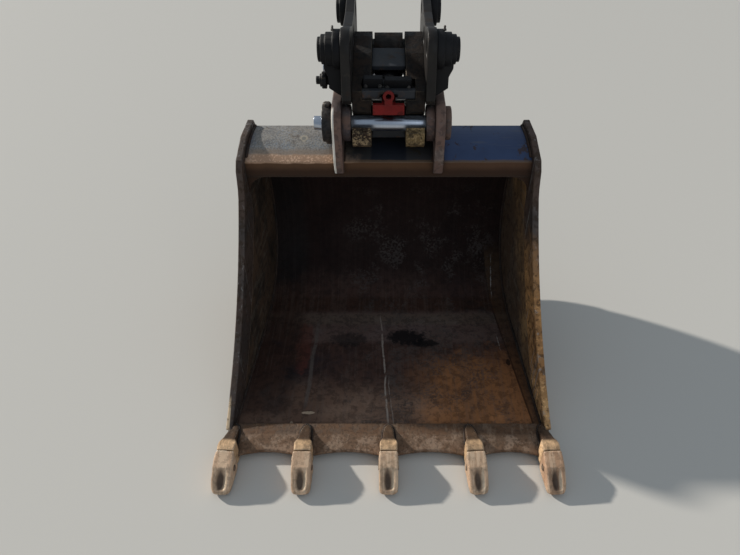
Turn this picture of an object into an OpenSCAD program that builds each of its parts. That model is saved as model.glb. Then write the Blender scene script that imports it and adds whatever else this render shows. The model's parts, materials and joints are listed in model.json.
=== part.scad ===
// Digging bucket with five teeth, held by a coupler with a moving rear hook.
// Millimetres. X is the width, the mouth looks along -Y, Z is up and the floor is at 0.

/* [Bucket shell] */
// Width over the side bars at the front edge
bucket_w = 1040; // [1020:10:1060]
// Inward lean of each side towards the back, in degrees
side_taper = 2.75; // [2.5:0.25:3.5]
// Thickness of the curved shell and the floor
shell_t = 16; // [12:1:18]
// Outer radius of the heel curve
heel_r = 320; // [316:2:324]
// Outer radius of the back curve
back_r = 450; // [446:2:454]
// Thickness of each side plate
side_t = 14; // [12:1:16]
// How far the side bars stand out past the side plates
bar_step = 8; // [6:1:10]
// Width of the side bars along the mouth
bar_w = 108; // [96:2:114]
// Wall of the box beam across the top
tube_t = 14; // [10:1:14]

/* [Front edge and wear pieces] */
// Thickness of the cutting edge plate
edge_t = 30; // [26:1:32]
// Depth of the cutting edge plate, front to back
edge_d = 96; // [94:1:104]
// Depth of the hollows worn between the adapters
edge_wear = 15; // [10:1:17]
// Thickness of the strips under the floor
strip_t = 16; // [12:1:16]
// Width of the strips under the floor
strip_w = 60; // [50:5:70]

/* [Teeth] */
// Half width of an adapter
adapter_hw = 27.5; // [27:0.5:30]
// Distance from the middle tooth to its neighbours
tooth_pitch = 260; // [255:1:265]
// Distance from the middle tooth to the outer teeth
tooth_outer = 490; // [488:1:494]
// Outward turn of the outer teeth, in degrees
tooth_splay = 2.5; // [1:0.5:3]
// Half width of a tooth at its joint with the adapter
tooth_hw = 28.5; // [28:0.5:31]
// Turn of the fourth tooth, which was welded on askew, in degrees
tooth_askew = 3.5; // [0:0.5:4]
// Length of a tooth past its joint with the adapter
tooth_len = 106; // [98:2:112]
// Radius of the pin that holds a tooth
tooth_pin_r = 8; // [7:0.5:9]

/* [Ears and pins] */
// Clear gap between the two ears
ear_gap = 290; // [286:1:294]
// Thickness of each ear
ear_t = 30; // [26:1:32]
// Radius of the two pins that the coupler holds
pin_r = 24; // [22.5:0.5:25]
// Distance between the two pins, front to back
pin_span = 368; // [364:1:372]
// Height of the rear pin over the front pin
pin_rise = 39; // [36:1:42]

/* [Coupler] */
// Gap for the stick and for the link
stick_gap = 224; // [222:1:226]
// Thickness of each coupler side plate
cheek_t = 28; // [26:1:28]
// Radius of the stick and link bores
mount_r = 25; // [22.5:0.5:26]
// Height of the stick bore over the front pin
stick_rise = 222; // [219:1:225]
// Thickness of each jaw block
jaw_t = 58; // [54:1:58]

/* [Hook, cylinder and lock] */
// Half width of the moving rear hook
hook_hw = 47; // [44:1:47]
// Radius of the hook's pivot pin
hook_pin_r = 22.5; // [20:0.5:24]
// Outer radius of the lock cylinder's barrel
barrel_r = 34; // [32:0.5:35]
// Radius of the cylinder rod
rod_r = 14; // [12:0.5:15]
// Half width of the front lock
lock_hw = 48; // [44:1:48]
// Radius of the front lock's pivot pin
lock_pin_r = 9; // [8:0.5:9.5]

/* [Clearances] */
// Radial gap of a pin in its bore
bore_gap = 0.05; // [0.02:0.01:0.1]
// Radial gap of a bucket pin in a coupler jaw
jaw_gap = 0.1; // [0.05:0.05:0.3]
// Radial gap of a bucket pin in the moving hook
hook_gap = 0.3; // [0.2:0.1:0.5]
// Gap between a tooth and its adapter's nose
nose_gap = 0.4; // [0.3:0.1:0.8]
// Radial room round the rod pin in the rod's eye
eye_gap = 3.2; // [3:0.1:3.6]
// Seam between plates that are welded face to face
seam = 0.05; // [0.05:0.01:0.1]

/* [Hidden] */
front_y = -420;
tooth_y = front_y - 28.5;
heel_y = 190;
heel_a = 75;
back_a = 126;
floor_z = strip_t;
edge_top = strip_t + edge_t;
edge_front = front_y - 8;
side_in = bar_step + side_t;
edge_reach = max(0, tooth_outer + adapter_hw - bucket_w / 2);
big = 3000;

heel_c = [heel_y, floor_z + heel_r];
back_c = heel_c + (heel_r - back_r) * [sin(heel_a), -cos(heel_a)];
shell_end = [cos(back_a), sin(back_a)] * seam;
shell_end_out = on_back(back_a, 0) + shell_end;
shell_end_in = on_back(back_a, -shell_t) + shell_end;

lip_low = [226, 625];
beam_back = [406, 721];
crown_r = 272;
crown_c = [380, beam_back[1] - crown_r];
crown = [for (i = [0 : 10]) crown_c + crown_r * [-sin(3.3 * i), cos(3.3 * i)]];
beam_skin = concat([shell_end_out, beam_back], crown, [lip_low]);
beam = concat([shell_end_in], beam_skin);
corner_r = 64;

pin_a = [270, 794];
pin_b = pin_a + [pin_span, pin_rise];
stick_c = pin_a + [20, stick_rise];
link_c = pin_b + [17, 194];
link_r = 60;
shift_y = -(tooth_y - tooth_len - 2.1 + link_c[0] + link_r) / 2;
hook_c = pin_b + [-78, 104];
rod_c = hook_c + 75 * [cos(-105), sin(-105)];
rod_pin_r = 12.5;
cyl_pin_r = 15;
cyl_c = pin_a + [82, 81];
lock_c = pin_a + [32, 68];
mouth_a = 142;
cyl_v = rod_c - cyl_c;
cyl_d = norm(cyl_v);
cyl_a = atan2(cyl_v[1], cyl_v[0]);

ear_in = ear_gap / 2;
ear_out = ear_in + ear_t;
cheek_in = stick_gap / 2;
cheek_out = cheek_in + cheek_t;
jaw_in = cheek_in - jaw_t;
ear_boss_in = cheek_in + 5;

// Tooth columns: place across, turn about the vertical
TX = 0;
TA = 1;
TEETH = [
    [-tooth_outer, -tooth_splay],
    [-tooth_pitch, 0],
    [0, 0],
    [tooth_pitch, tooth_askew],
    [tooth_outer, tooth_splay]
];

// Point at a height over the back curve, angle measured from straight down towards +Y
function on_back(a, h) = back_c + (back_r + h) * [sin(a), -cos(a)];
function unit(v) = v / norm(v);
function left_of(v) = [-v[1], v[0]];
function inset_at(p, c, n, t) =
    let (a = left_of(unit(c - p)), b = left_of(unit(n - c)))
    c + t * (a + b) / (1 + a * b);
function inset(pts, t) = let (k = len(pts))
    [for (i = [0 : k - 1]) inset_at(pts[(i + k - 1) % k], pts[i], pts[(i + 1) % k], t)];
function mid_arc(a, b, sag, n) = let (d = b - a, m = left_of(unit(d)))
    [for (i = [0 : n]) let (s = i / n) a + s * d - 4 * s * (1 - s) * sag * m];

module at_frame() {
    translate([0, shift_y, 0]) children();
}

module along_x(x0, x1) {
    translate([x0, 0, 0]) rotate([90, 0, 90]) linear_extrude(height = x1 - x0) children();
}

module both_sides(x0, x1) {
    along_x(x0, x1) children();
    along_x(-x1, -x0) children();
}

module bar_x(c, r, x0, x1) {
    translate([x0, c[0], c[1]]) rotate([0, 90, 0]) cylinder(r = r, h = x1 - x0);
}

module disc(c, r) {
    translate(c) circle(r = r);
}

// Sector between two angles measured from straight down towards +Y
module sector(c, r, a0, a1) {
    am = (a0 + a1) / 2;
    far = 3 * r;
    intersection() {
        translate(c) circle(r = r);
        polygon([
            c, c + far * [sin(a0), -cos(a0)],
            c + far * [sin(am), -cos(am)], c + far * [sin(a1), -cos(a1)]
        ]);
    }
}

// Moves a piece to the leaning plane of the right side, outer face at x = 0
module at_side() {
    translate([bucket_w / 2, front_y, 0]) rotate([0, 0, side_taper])
        translate([0, -front_y, 0]) children();
}

// Cuts a piece that spans the bucket at the planes "depth" inside the bars' outer faces
module between_sides(depth) {
    difference() {
        children();
        for (m = [0, 1]) mirror([m, 0, 0]) at_side()
            translate([-depth, -big, -big / 2]) cube([big, 2 * big, big]);
    }
}

behind_edge_y = front_y + (edge_d + side_in * sin(side_taper)) / cos(side_taper) + seam;
front_a = [-352, edge_top];
front_b = [150, 548];
mouth_sag = 40;
front_arc = mid_arc(front_a, front_b, mouth_sag, 14);
lobe = [[169, 578], [180, 606], [186, 634], [192, 664], [213, 694]];
back_arc = mid_arc(front_a + bar_w * [0.76, -0.65], front_b + bar_w * [0.76, -0.65], mouth_sag, 14);

// Points along an arc, angles measured from straight down towards +Y
function fan(c, r, a0, a1, n) =
    [for (i = [0 : n]) let (a = a0 + (a1 - a0) * i / n) c + r * [sin(a), -cos(a)]];

module side_outline() {
    polygon(concat(
        front_arc, lobe, [[305, 733], [410, 742], [434, 704]],
        fan(back_c, back_r + 4, back_a, heel_a + 3, 16),
        fan(heel_c, heel_r + 4, heel_a, 0, 25),
        [[behind_edge_y, floor_z - 4], [behind_edge_y, edge_top]]
    ));
}

module bar_band() {
    polygon(concat(
        back_arc,
        [[268, 676], [322, 704], [500, 716], [500, 800], [60, 800], [front_y, -60]]
    ));
}

module side_plate() {
    at_side() along_x(-side_in, -bar_step) difference() {
        side_outline();
        bar_band();
    }
}

module side_bar() {
    at_side() along_x(-side_in, 0) intersection() {
        side_outline();
        bar_band();
    }
}

module shell_profile() {
    difference() {
        sector(heel_c, heel_r, 0, heel_a);
        disc(heel_c, heel_r - shell_t);
    }
    difference() {
        sector(back_c, back_r, heel_a, back_a);
        disc(back_c, back_r - shell_t);
    }
    translate([front_y + edge_d, floor_z]) square([heel_y - front_y - edge_d, shell_t]);
}

module shell() color([0.30, 0.27, 0.25]) at_frame()
    between_sides(side_in) along_x(-bucket_w / 2, bucket_w / 2) shell_profile();

// Hollow-cut plate under the right end of the beam; x and z in its own drawing
module corner_plate() {
    x = bucket_w / 2 - side_in - (lip_low[0] - front_y) * tan(side_taper) - corner_r - 1;
    z = lip_low[1] - corner_r - 1;
    translate([0, lip_low[0] + 20, 0]) rotate([90, 0, 0]) linear_extrude(height = 18) difference() {
        translate([x, z]) square([corner_r + 30, corner_r + 4]);
        translate([x, z]) circle(r = corner_r);
    }
}

module top_beam() color([0.36, 0.42, 0.48]) at_frame() between_sides(side_in) {
    along_x(-bucket_w / 2, bucket_w / 2) difference() {
        polygon(beam);
        polygon(inset(beam, tube_t));
    }
    for (m = [0, 1]) mirror([m, 0, 0]) corner_plate();
}

module edge_profile() {
    polygon([
        [edge_front, floor_z + 3], [edge_front + 20, floor_z], [front_y + edge_d, floor_z],
        [front_y + edge_d, edge_top], [front_y + 50, edge_top], [edge_front, floor_z + 10]
    ]);
}

module cutting_edge() color([0.52, 0.45, 0.38]) at_frame() difference() {
    between_sides(bar_step - edge_reach) along_x(-bucket_w / 2 - edge_reach, bucket_w / 2 + edge_reach)
        edge_profile();
    for (x = [tooth_pitch / 2, (tooth_pitch + tooth_outer) / 2], m = [-1, 1]) {
        half = (x < tooth_pitch ? tooth_pitch : tooth_outer - tooth_pitch) / 2 - adapter_hw;
        r = half * half / (2 * edge_wear) + edge_wear / 2;
        translate([m * x, edge_front + edge_wear - r, 0]) cylinder(r = r, h = 100);
    }
}

module side_plate_left() color([0.33, 0.36, 0.40]) at_frame() mirror([1, 0, 0]) side_plate();

module side_plate_right() color([0.33, 0.36, 0.40]) at_frame() side_plate();

module side_bar_left() color([0.45, 0.38, 0.33]) at_frame() mirror([1, 0, 0]) side_bar();

module side_bar_right() color([0.45, 0.38, 0.33]) at_frame() side_bar();

strip_x = [120, bucket_w / 2 - 175];

module wear_strips() color([0.40, 0.33, 0.28]) at_frame()
    for (x = strip_x) both_sides(x, x + strip_w) {
        translate([front_y + edge_d, 0]) square([heel_y - front_y - edge_d, strip_t]);
        difference() {
            sector(heel_c, heel_r + strip_t, 0, 62);
            disc(heel_c, heel_r);
        }
    }

module side_wear_plates() color([0.38, 0.33, 0.30]) at_frame()
    for (m = [0, 1]) mirror([m, 0, 0]) at_side() along_x(-bar_step, -1) {
        polygon([[-60, 24], [heel_y, 24], [heel_y, 104], [-20, 104]]);
        difference() {
            sector(heel_c, heel_r - 8, 4, 34);
            disc(heel_c, heel_r - 88);
        }
        difference() {
            sector(heel_c, heel_r - 8, 38, 68);
            disc(heel_c, heel_r - 88);
        }
    }

// Corner guards wrap the shell where it meets a side plate
module heel_guards() color([0.36, 0.30, 0.26]) at_frame() between_sides(side_in)
    for (a = [10, 46]) both_sides(strip_x[1] + strip_w + 6, bucket_w / 2) difference() {
        sector(heel_c, heel_r + 14, a, a + 22);
        disc(heel_c, heel_r);
    }

module ear_profile() {
    difference() {
        union() {
            disc(pin_a, 73);
            disc(pin_b, 70);
            polygon([
                [300, 600], on_back(98.5, -110), on_back(99, -3), on_back(113.7, 98), pin_b + [58, -52],
                pin_b + [68, -6], pin_b + [7, 68], pin_a + [-8, 71], pin_a + [-72, -6],
                [196, 700], [212, 646]
            ]);
        }
        sector(back_c, back_r, 50, back_a);
        polygon(concat([[200, 500], [300, 400], back_c + 0.6 * back_r * [sin(110), -cos(110)]], beam_skin));
        disc(pin_a, pin_r + bore_gap);
        disc(pin_b, pin_r + bore_gap);
    }
}

module ear_left() color([0.42, 0.36, 0.32]) at_frame() along_x(-ear_out, -ear_in) ear_profile();

module ear_right() color([0.42, 0.36, 0.32]) at_frame() along_x(ear_in, ear_out) ear_profile();

module ring_profile(c, r_out, r_in) {
    difference() {
        disc(c, r_out);
        disc(c, r_in);
    }
}

module ear_bosses() color([0.44, 0.38, 0.34]) at_frame() for (c = [pin_a, pin_b]) {
    both_sides(ear_boss_in, ear_in) ring_profile(c, 56, pin_r + bore_gap);
    along_x(ear_out, ear_out + 20) ring_profile(c, 52, pin_r + bore_gap);
}

collar_x0 = -ear_out - 31;
collar_bolt_x = -ear_out - 15.5;
collar_bolt_r = 8;
collar_r = 58;

module pin_collars() color([0.20, 0.19, 0.18]) at_frame() difference() {
    along_x(collar_x0, -ear_out) {
        ring_profile(pin_a, collar_r, pin_r + bore_gap);
        ring_profile(pin_b, collar_r, pin_r + bore_gap);
    }
    for (c = [pin_a, pin_b]) translate([collar_bolt_x, c[0], c[1] - 80])
        cylinder(r = collar_bolt_r + bore_gap, h = 160);
}

module collar_bolts() color([0.55, 0.53, 0.50]) at_frame() for (c = [pin_a, pin_b])
    translate([collar_bolt_x, c[0], c[1]]) {
        translate([0, 0, -68]) cylinder(r = collar_bolt_r, h = 136);
        translate([0, 0, collar_r + seam]) cylinder(r = 13, h = 9, $fn = 6);
        translate([0, 0, -collar_r - seam - 9]) cylinder(r = 13, h = 9, $fn = 6);
    }

module bucket_pin(c) {
    difference() {
        union() {
            bar_x(c, pin_r, collar_x0 - 4, ear_out + 22);
            bar_x(c, pin_r - 2, collar_x0 - 28, collar_x0 - 3);
        }
        translate([collar_bolt_x, c[0], c[1] - 80])
            cylinder(r = collar_bolt_r + bore_gap, h = 160);
    }
}

module front_pin() color([0.75, 0.75, 0.76]) at_frame() bucket_pin(pin_a);

module rear_pin() color([0.62, 0.61, 0.60]) at_frame() bucket_pin(pin_b);

eye_c = on_back(96, 40);

module lift_eye() color([0.40, 0.34, 0.30]) at_frame() along_x(-12, 12) difference() {
    union() {
        disc(eye_c, 34);
        polygon([on_back(94, -23), on_back(85, -8), on_back(92.4, 50), on_back(99.6, 46), on_back(104.2, -2)]);
    }
    disc(back_c, back_r);
    disc(eye_c, 17);
}

// Nose of an adapter, grown by g, in the adapter's own place at x = 0
module nose(g) {
    y0 = front_y - 28;
    y1 = front_y - 86;
    intersection() {
        along_x(-60, 60) polygon([
            [y0 + 6, 70 + g], [y1 - g, 44 + g], [y1 - g, 25 - g], [y0 + 6, 15 - g]
        ]);
        linear_extrude(height = 200) polygon([
            [-20 - g, y0 + 6], [-16 - g, y1 - g], [16 + g, y1 - g], [20 + g, y0 + 6]
        ]);
    }
}

tooth_pin_y = front_y - 58;
tooth_pin_z = 38;

module adapter(i) {
    y0 = front_y - 28;
    difference() {
        translate([TEETH[i][TX], front_y, 0]) rotate([0, 0, TEETH[i][TA]])
            translate([0, -front_y, 0]) difference() {
                union() {
                    intersection() {
                        along_x(-60, 60) polygon([
                            [y0, 84], [y0, 7], [front_y + 30, 4], [front_y + 84, 4],
                            [front_y + 92, 13], [front_y + 92, edge_top + 4],
                            [front_y + 52, edge_top + 17], [front_y + 20, 79], [y0 + 16, 86]
                        ]);
                        linear_extrude(height = 200) polygon([
                            [1 - adapter_hw, y0], [adapter_hw - 1, y0],
                            [adapter_hw, y0 + 14], [adapter_hw, front_y + 4],
                            [adapter_hw - 8, front_y + 20], [adapter_hw - 11, front_y + 66],
                            [9, front_y + 84], [0, front_y + 91], [-9, front_y + 84],
                            [11 - adapter_hw, front_y + 66], [8 - adapter_hw, front_y + 20],
                            [-adapter_hw, front_y + 4], [-adapter_hw, y0 + 14]
                        ]);
                    }
                    nose(0);
                }
                bar_x([tooth_pin_y, tooth_pin_z], tooth_pin_r + bore_gap, -80, 80);
            }
        along_x(-big / 2, big / 2) edge_profile();
        // Trims the tail of an outer adapter beside the foot of the side bar
        for (m = [0, 1]) mirror([m, 0, 0]) at_side()
            translate([-side_in - seam, front_a[0] - 2, 0]) cube(big);
    }
}

module tooth(i) {
    y0 = tooth_y;
    y1 = y0 - tooth_len;
    ym = y0 - 0.46 * tooth_len;
    translate([TEETH[i][TX], front_y, 0]) rotate([0, 0, TEETH[i][TA]])
        translate([0, -front_y, 0]) difference() {
            intersection() {
                along_x(-60, 60) polygon([
                    [y0, 4], [y0, 84], [ym, 68], [y1, 24], [y1 - 1, 17], [y1 + 4, 9], [y1 + 16, 5]
                ]);
                linear_extrude(height = 200) polygon([
                    [-tooth_hw, y0], [-tooth_hw - 2, y0 - 22], [-tooth_hw - 1.5, ym],
                    [-tooth_hw - 0.5, y1 + 22], [1 - tooth_hw, y1 + 12],
                    [6 - tooth_hw, y1 + 4], [14 - tooth_hw, y1 - 1],
                    [tooth_hw - 14, y1 - 1], [tooth_hw - 6, y1 + 4],
                    [tooth_hw - 1, y1 + 12], [tooth_hw + 0.5, y1 + 22],
                    [tooth_hw + 1.5, ym], [tooth_hw + 2, y0 - 22], [tooth_hw, y0]
                ]);
            }
            nose(nose_gap);
            bar_x([tooth_pin_y, tooth_pin_z], tooth_pin_r + bore_gap, -80, 80);
            translate([0, y0 - 0.99 * tooth_len, 88.5]) rotate([0, 90, 0])
                rotate_extrude() translate([36, 0]) circle(r = 21);
        }
}

module adapter_1() color([0.50, 0.42, 0.34]) at_frame() adapter(0);

module adapter_2() color([0.50, 0.42, 0.34]) at_frame() adapter(1);

module adapter_3() color([0.50, 0.42, 0.34]) at_frame() adapter(2);

module adapter_4() color([0.50, 0.42, 0.34]) at_frame() adapter(3);

module adapter_5() color([0.50, 0.42, 0.34]) at_frame() adapter(4);

module tooth_1() color([0.60, 0.52, 0.43]) at_frame() tooth(0);

module tooth_2() color([0.60, 0.52, 0.43]) at_frame() tooth(1);

module tooth_3() color([0.60, 0.52, 0.43]) at_frame() tooth(2);

module tooth_4() color([0.60, 0.52, 0.43]) at_frame() tooth(3);

module tooth_5() color([0.60, 0.52, 0.43]) at_frame() tooth(4);

module tooth_pins() color([0.30, 0.28, 0.26]) at_frame() for (i = [0 : 4])
    translate([TEETH[i][TX], front_y, 0]) rotate([0, 0, TEETH[i][TA]])
        translate([0, -front_y, 0]) bar_x([tooth_pin_y, tooth_pin_z], tooth_pin_r, -tooth_hw - 2.5, tooth_hw + 2.5);

module cheek_profile() {
    difference() {
        union() {
            disc(stick_c, 60);
            disc(link_c, link_r);
            polygon([
                stick_c + [-59.9, 0], pin_a + [-46, 92], pin_a + [-36, 76], pin_a + [82, 66],
                hook_c + [-6, -76], hook_c + [62, -20], pin_b + [56, 66], pin_b + [68, 104],
                link_c + [60, 0], link_c + [4, 59.8], link_c + [-120, 26],
                stick_c + [120, 30], stick_c + [8, 59.4]
            ]);
        }
        disc(stick_c, mount_r);
        disc(link_c, mount_r);
        disc(hook_c, hook_pin_r + bore_gap);
        disc(pin_a, 62);
        disc(pin_b, 62);
        disc(stick_c + [170, -14], 28);
    }
}

module cheek_left() color([0.13, 0.13, 0.14]) at_frame() along_x(-cheek_out, -cheek_in) cheek_profile();

module cheek_right() color([0.13, 0.13, 0.14]) at_frame() along_x(cheek_in, cheek_out) cheek_profile();

// Boss columns: outer radius, start and end past the side plate
BOSS = [[56, 0, 22], [48, 22, 44], [42, 44, 58], [35, 58, 68]];
rib_w = 56;

// Rib that flares from a side plate to its stick boss; x and z in its own drawing
module boss_rib() {
    translate([0, stick_c[0] + rib_w / 2, 0]) rotate([90, 0, 0]) linear_extrude(height = rib_w) polygon([
        [cheek_out, pin_a[1] + 89], [cheek_out + 14, pin_a[1] + 97], [cheek_out + 40, pin_a[1] + 115],
        [cheek_out + 40, pin_a[1] + 149], [cheek_out + 52, stick_c[1] - 48], [cheek_out + 52, stick_c[1] - 20],
        [cheek_out, stick_c[1] - 20]
    ]);
}

module stick_boss() {
    difference() {
        union() {
            for (b = BOSS) bar_x(stick_c, b[0], cheek_out + b[1], cheek_out + b[2]);
            boss_rib();
        }
        bar_x(stick_c, mount_r, cheek_out - 1, cheek_out + 100);
    }
}

module cheek_bosses() color([0.11, 0.11, 0.12]) at_frame() {
    for (m = [0, 1]) mirror([m, 0, 0]) stick_boss();
    both_sides(cheek_out, cheek_out + 24) ring_profile(link_c, 52, mount_r);
    both_sides(cheek_out + 24, cheek_out + 36) ring_profile(link_c, 42, mount_r);
}

seat_r = pin_r + jaw_gap;

module jaw_profile() {
    difference() {
        union() {
            disc(hook_c, 45);
            polygon([
                pin_a + [-68, -43], pin_a + [-44, -60], pin_a + [34, -62], pin_a + [60, -48],
                pin_a + [140, -20], hook_c + [-10, -142], pin_b + [-seat_r - 1.5, -24],
                pin_b + [-seat_r - 0.9, 0], pin_b + [seat_r + 0.9, 0], pin_b + [seat_r + 1.5, -28], pin_b + [50, -30],
                pin_b + [64, -10], pin_b + [64, 50], pin_b + [40, 76], hook_c + [44, 8],
                hook_c + [0, 45], hook_c + [-40, 45], hook_c + [-140, 24],
                pin_a + [66, 124], pin_a + [-24, 112], pin_a + [-24, 40],
                pin_a + [-52, 1], pin_a + [-66, -3]
            ]);
        }
        disc(pin_a, seat_r);
        translate(pin_a) rotate(mouth_a) translate([0, -seat_r]) square([200, 2 * seat_r]);
        disc(pin_b, seat_r);
        translate(pin_b - [seat_r, 200]) square([2 * seat_r, 200]);
        disc(hook_c, hook_pin_r + bore_gap);
        disc(cyl_c, cyl_pin_r + bore_gap);
        disc(lock_c, lock_pin_r + bore_gap);
    }
}

web_t = 30;
web_in = cheek_in - web_t;
shelf_y = pin_a[0] + 52;
shelf_z = pin_a[1] + 86;

// The thick lower block narrows to a web above the shelf
module jaw() {
    difference() {
        along_x(jaw_in, cheek_in) jaw_profile();
        along_x(jaw_in - 5, web_in) translate([0, shelf_z]) square([shelf_y, 200]);
    }
}

module jaw_left() color([0.24, 0.20, 0.17]) at_frame() mirror([1, 0, 0]) jaw();

module jaw_right() color([0.24, 0.20, 0.17]) at_frame() jaw();

module cross_members() color([0.30, 0.31, 0.32]) at_frame() {
    difference() {
        along_x(-web_in, web_in) polygon([
            [pin_a[0] - 18, shelf_z], [pin_a[0] + 6, shelf_z], [pin_a[0] + 6, shelf_z + 6],
            [shelf_y - 5, shelf_z + 6], [shelf_y - 5, shelf_z + 16], [pin_a[0] + 6, shelf_z + 16],
            [pin_a[0] + 6, shelf_z + 25], [pin_a[0] - 18, shelf_z + 25]
        ]);
        along_x(-27, 27) translate([0, shelf_z - 50]) square([pin_a[0] + 6, 64]);
    }
    along_x(-jaw_in, jaw_in) {
        translate(pin_a + [40, -70]) square([16, 104]);
        translate(pin_a + [116, 124]) polygon([[0, 0], [110, 20], [110, 34], [0, 14]]);
    }
}

module valve_block() color([0.10, 0.10, 0.11]) at_frame() translate([0, pin_a[0] + 9, shelf_z + 16]) {
    translate([-78, 0, 0]) cube([60, 36, 35]);
    translate([-13, 0, 0]) cube([84, 36, 31]);
}

// Fitting columns: radius, start and end past the pad on the left rib
FITTING = [[14, 0, 8], [25, 8, 22], [19, 22, 28], [12, 28, 40]];

module hose_fittings() color([0.08, 0.08, 0.08]) at_frame()
    for (f = FITTING) bar_x([stick_c[0], pin_a[1] + 130], f[0], -cheek_out - 40 - f[2], -cheek_out - 40 - f[1]);

module hook_pin() color([0.45, 0.44, 0.43]) at_frame() bar_x(hook_c, hook_pin_r, -cheek_out - 6, cheek_out + 6);

module cylinder_pin() color([0.45, 0.44, 0.43]) at_frame() bar_x(cyl_c, cyl_pin_r, -cheek_in, cheek_in);

module lock_pin() color([0.40, 0.39, 0.38]) at_frame() bar_x(lock_c, lock_pin_r, -cheek_in, cheek_in);

// Sector between two angles measured from +Y towards +Z
module wedge(c, r, a0, a1) {
    sector(c, r, a0 + 90, a1 + 90);
}

module hook_profile() {
    difference() {
        union() {
            disc(hook_c, 42);
            disc(rod_c, 27);
            wedge(pin_b, 60, 150, 230);
            wedge(pin_b, 60, 229, 308);
            polygon([
                hook_c + [-42, 0], rod_c + [-26, 8], rod_c + [-14, -30], pin_b + [-76, -44],
                pin_b + [-38, -47], pin_b + [-30, 0], pin_b + [-40, 70], hook_c + [30, -29]
            ]);
        }
        disc(pin_b, pin_r + hook_gap);
        disc(hook_c, hook_pin_r + bore_gap);
        disc(rod_c, rod_pin_r + bore_gap);
    }
}

module hook() color([0.28, 0.24, 0.21]) at_frame() difference() {
    along_x(-hook_hw, hook_hw) hook_profile();
    along_x(-20, 20) translate(rod_c - [80, 58]) square([111, 89]);
}

module rod_pin() color([0.45, 0.44, 0.43]) at_frame() bar_x(rod_c, rod_pin_r, -hook_hw, hook_hw);

// Moves a piece drawn along +Y from the cylinder's base pin onto the cylinder's line
module at_cylinder() {
    translate([0, cyl_c[0], cyl_c[1]]) rotate([cyl_a, 0, 0]) children();
}

module tube_y(r, y0, y1) {
    translate([0, y0, 0]) rotate([-90, 0, 0]) cylinder(r = r, h = y1 - y0);
}

module barrel() color([0.16, 0.16, 0.17]) at_frame() at_cylinder() difference() {
    union() {
        bar_x([0, 0], 28, -hook_hw, hook_hw);
        tube_y(barrel_r, 16, 112);
        tube_y(barrel_r + 3, 100, 112);
    }
    bar_x([0, 0], cyl_pin_r + bore_gap, -100, 100);
    tube_y(barrel_r - 7, 34, 100);
    tube_y(rod_r + bore_gap, 90, 120);
}

module rod() color([0.78, 0.78, 0.79]) at_frame() at_cylinder() difference() {
    union() {
        tube_y(barrel_r - 7 - bore_gap, 78, 96);
        tube_y(rod_r, 90, cyl_d - 16);
        bar_x([cyl_d, 0], 25, -17, 17);
    }
    bar_x([cyl_d, 0], rod_pin_r + eye_gap, -40, 40);
}

arm_hw = 21;

module front_lock() color([0.62, 0.10, 0.09]) at_frame() translate([0, lock_c[0], lock_c[1]]) {
    difference() {
        union() {
            along_x(-lock_hw, lock_hw) polygon([[-76, -22], [-66, -24], [-58, -18], [-60, 10], [-76, 10]]);
            along_x(-arm_hw, arm_hw) {
                circle(r = 13);
                polygon([[-62, -18], [-30, -12], [0, -12.5], [0, 12.5], [-30, 9], [-62, 9]]);
            }
            translate([0, -66, 35]) rotate([90, 0, 0]) cylinder(r = 17, h = 9);
            translate([-12, -75, 4]) cube([24, 9, 22]);
        }
        bar_x([0, 0], lock_pin_r + bore_gap, -60, 60);
        translate([0, -60, 35]) rotate([90, 0, 0]) cylinder(r = 8.5, h = 20);
    }
}

shell();
cutting_edge();
top_beam();
side_plate_left();
side_plate_right();
side_bar_left();
side_bar_right();
wear_strips();
side_wear_plates();
heel_guards();
ear_left();
ear_right();
ear_bosses();
pin_collars();
collar_bolts();
lift_eye();
front_pin();
rear_pin();
adapter_1();
adapter_2();
adapter_3();
adapter_4();
adapter_5();
tooth_1();
tooth_2();
tooth_3();
tooth_4();
tooth_5();
tooth_pins();
cheek_left();
cheek_right();
cheek_bosses();
jaw_left();
jaw_right();
cross_members();
valve_block();
hose_fittings();
hook_pin();
cylinder_pin();
lock_pin();
hook();
rod_pin();
barrel();
rod();
front_lock();
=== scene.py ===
"""Digging bucket in its quick coupler: finishes, weld seams and small fittings on the CAD frame."""
import json
from math import cos, hypot, radians, sin, sqrt, tan

import bpy
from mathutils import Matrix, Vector

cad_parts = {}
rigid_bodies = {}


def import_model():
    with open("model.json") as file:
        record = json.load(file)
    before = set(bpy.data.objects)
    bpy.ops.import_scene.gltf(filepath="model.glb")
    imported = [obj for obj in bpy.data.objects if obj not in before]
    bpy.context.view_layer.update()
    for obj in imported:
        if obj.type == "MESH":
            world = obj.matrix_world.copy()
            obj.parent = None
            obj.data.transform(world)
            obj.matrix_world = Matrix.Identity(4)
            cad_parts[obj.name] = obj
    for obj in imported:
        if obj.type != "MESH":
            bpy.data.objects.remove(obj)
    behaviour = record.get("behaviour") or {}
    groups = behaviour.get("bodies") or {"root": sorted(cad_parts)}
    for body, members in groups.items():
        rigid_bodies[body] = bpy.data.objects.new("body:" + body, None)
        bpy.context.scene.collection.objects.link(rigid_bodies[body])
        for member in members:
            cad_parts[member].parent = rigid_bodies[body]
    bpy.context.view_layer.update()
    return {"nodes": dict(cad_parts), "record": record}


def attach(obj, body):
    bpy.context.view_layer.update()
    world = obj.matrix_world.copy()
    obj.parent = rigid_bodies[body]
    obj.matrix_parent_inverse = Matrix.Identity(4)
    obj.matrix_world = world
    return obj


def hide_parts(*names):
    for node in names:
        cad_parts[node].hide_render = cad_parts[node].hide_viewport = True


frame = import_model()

MAIN = "bucket_and_coupler"
DRAWING_SHIFT = -79.2  # mm between the drawing's Y and the frame's Y

# The camera of the picture: place in metres, tilt in degrees, lens and sensor in mm
CAMERA_PLACE = (0, -1.5292, 1.6)
CAMERA_TILT = 50
LENS, SENSOR, LENS_SHIFT = 28.26, 36, -0.0251

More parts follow.
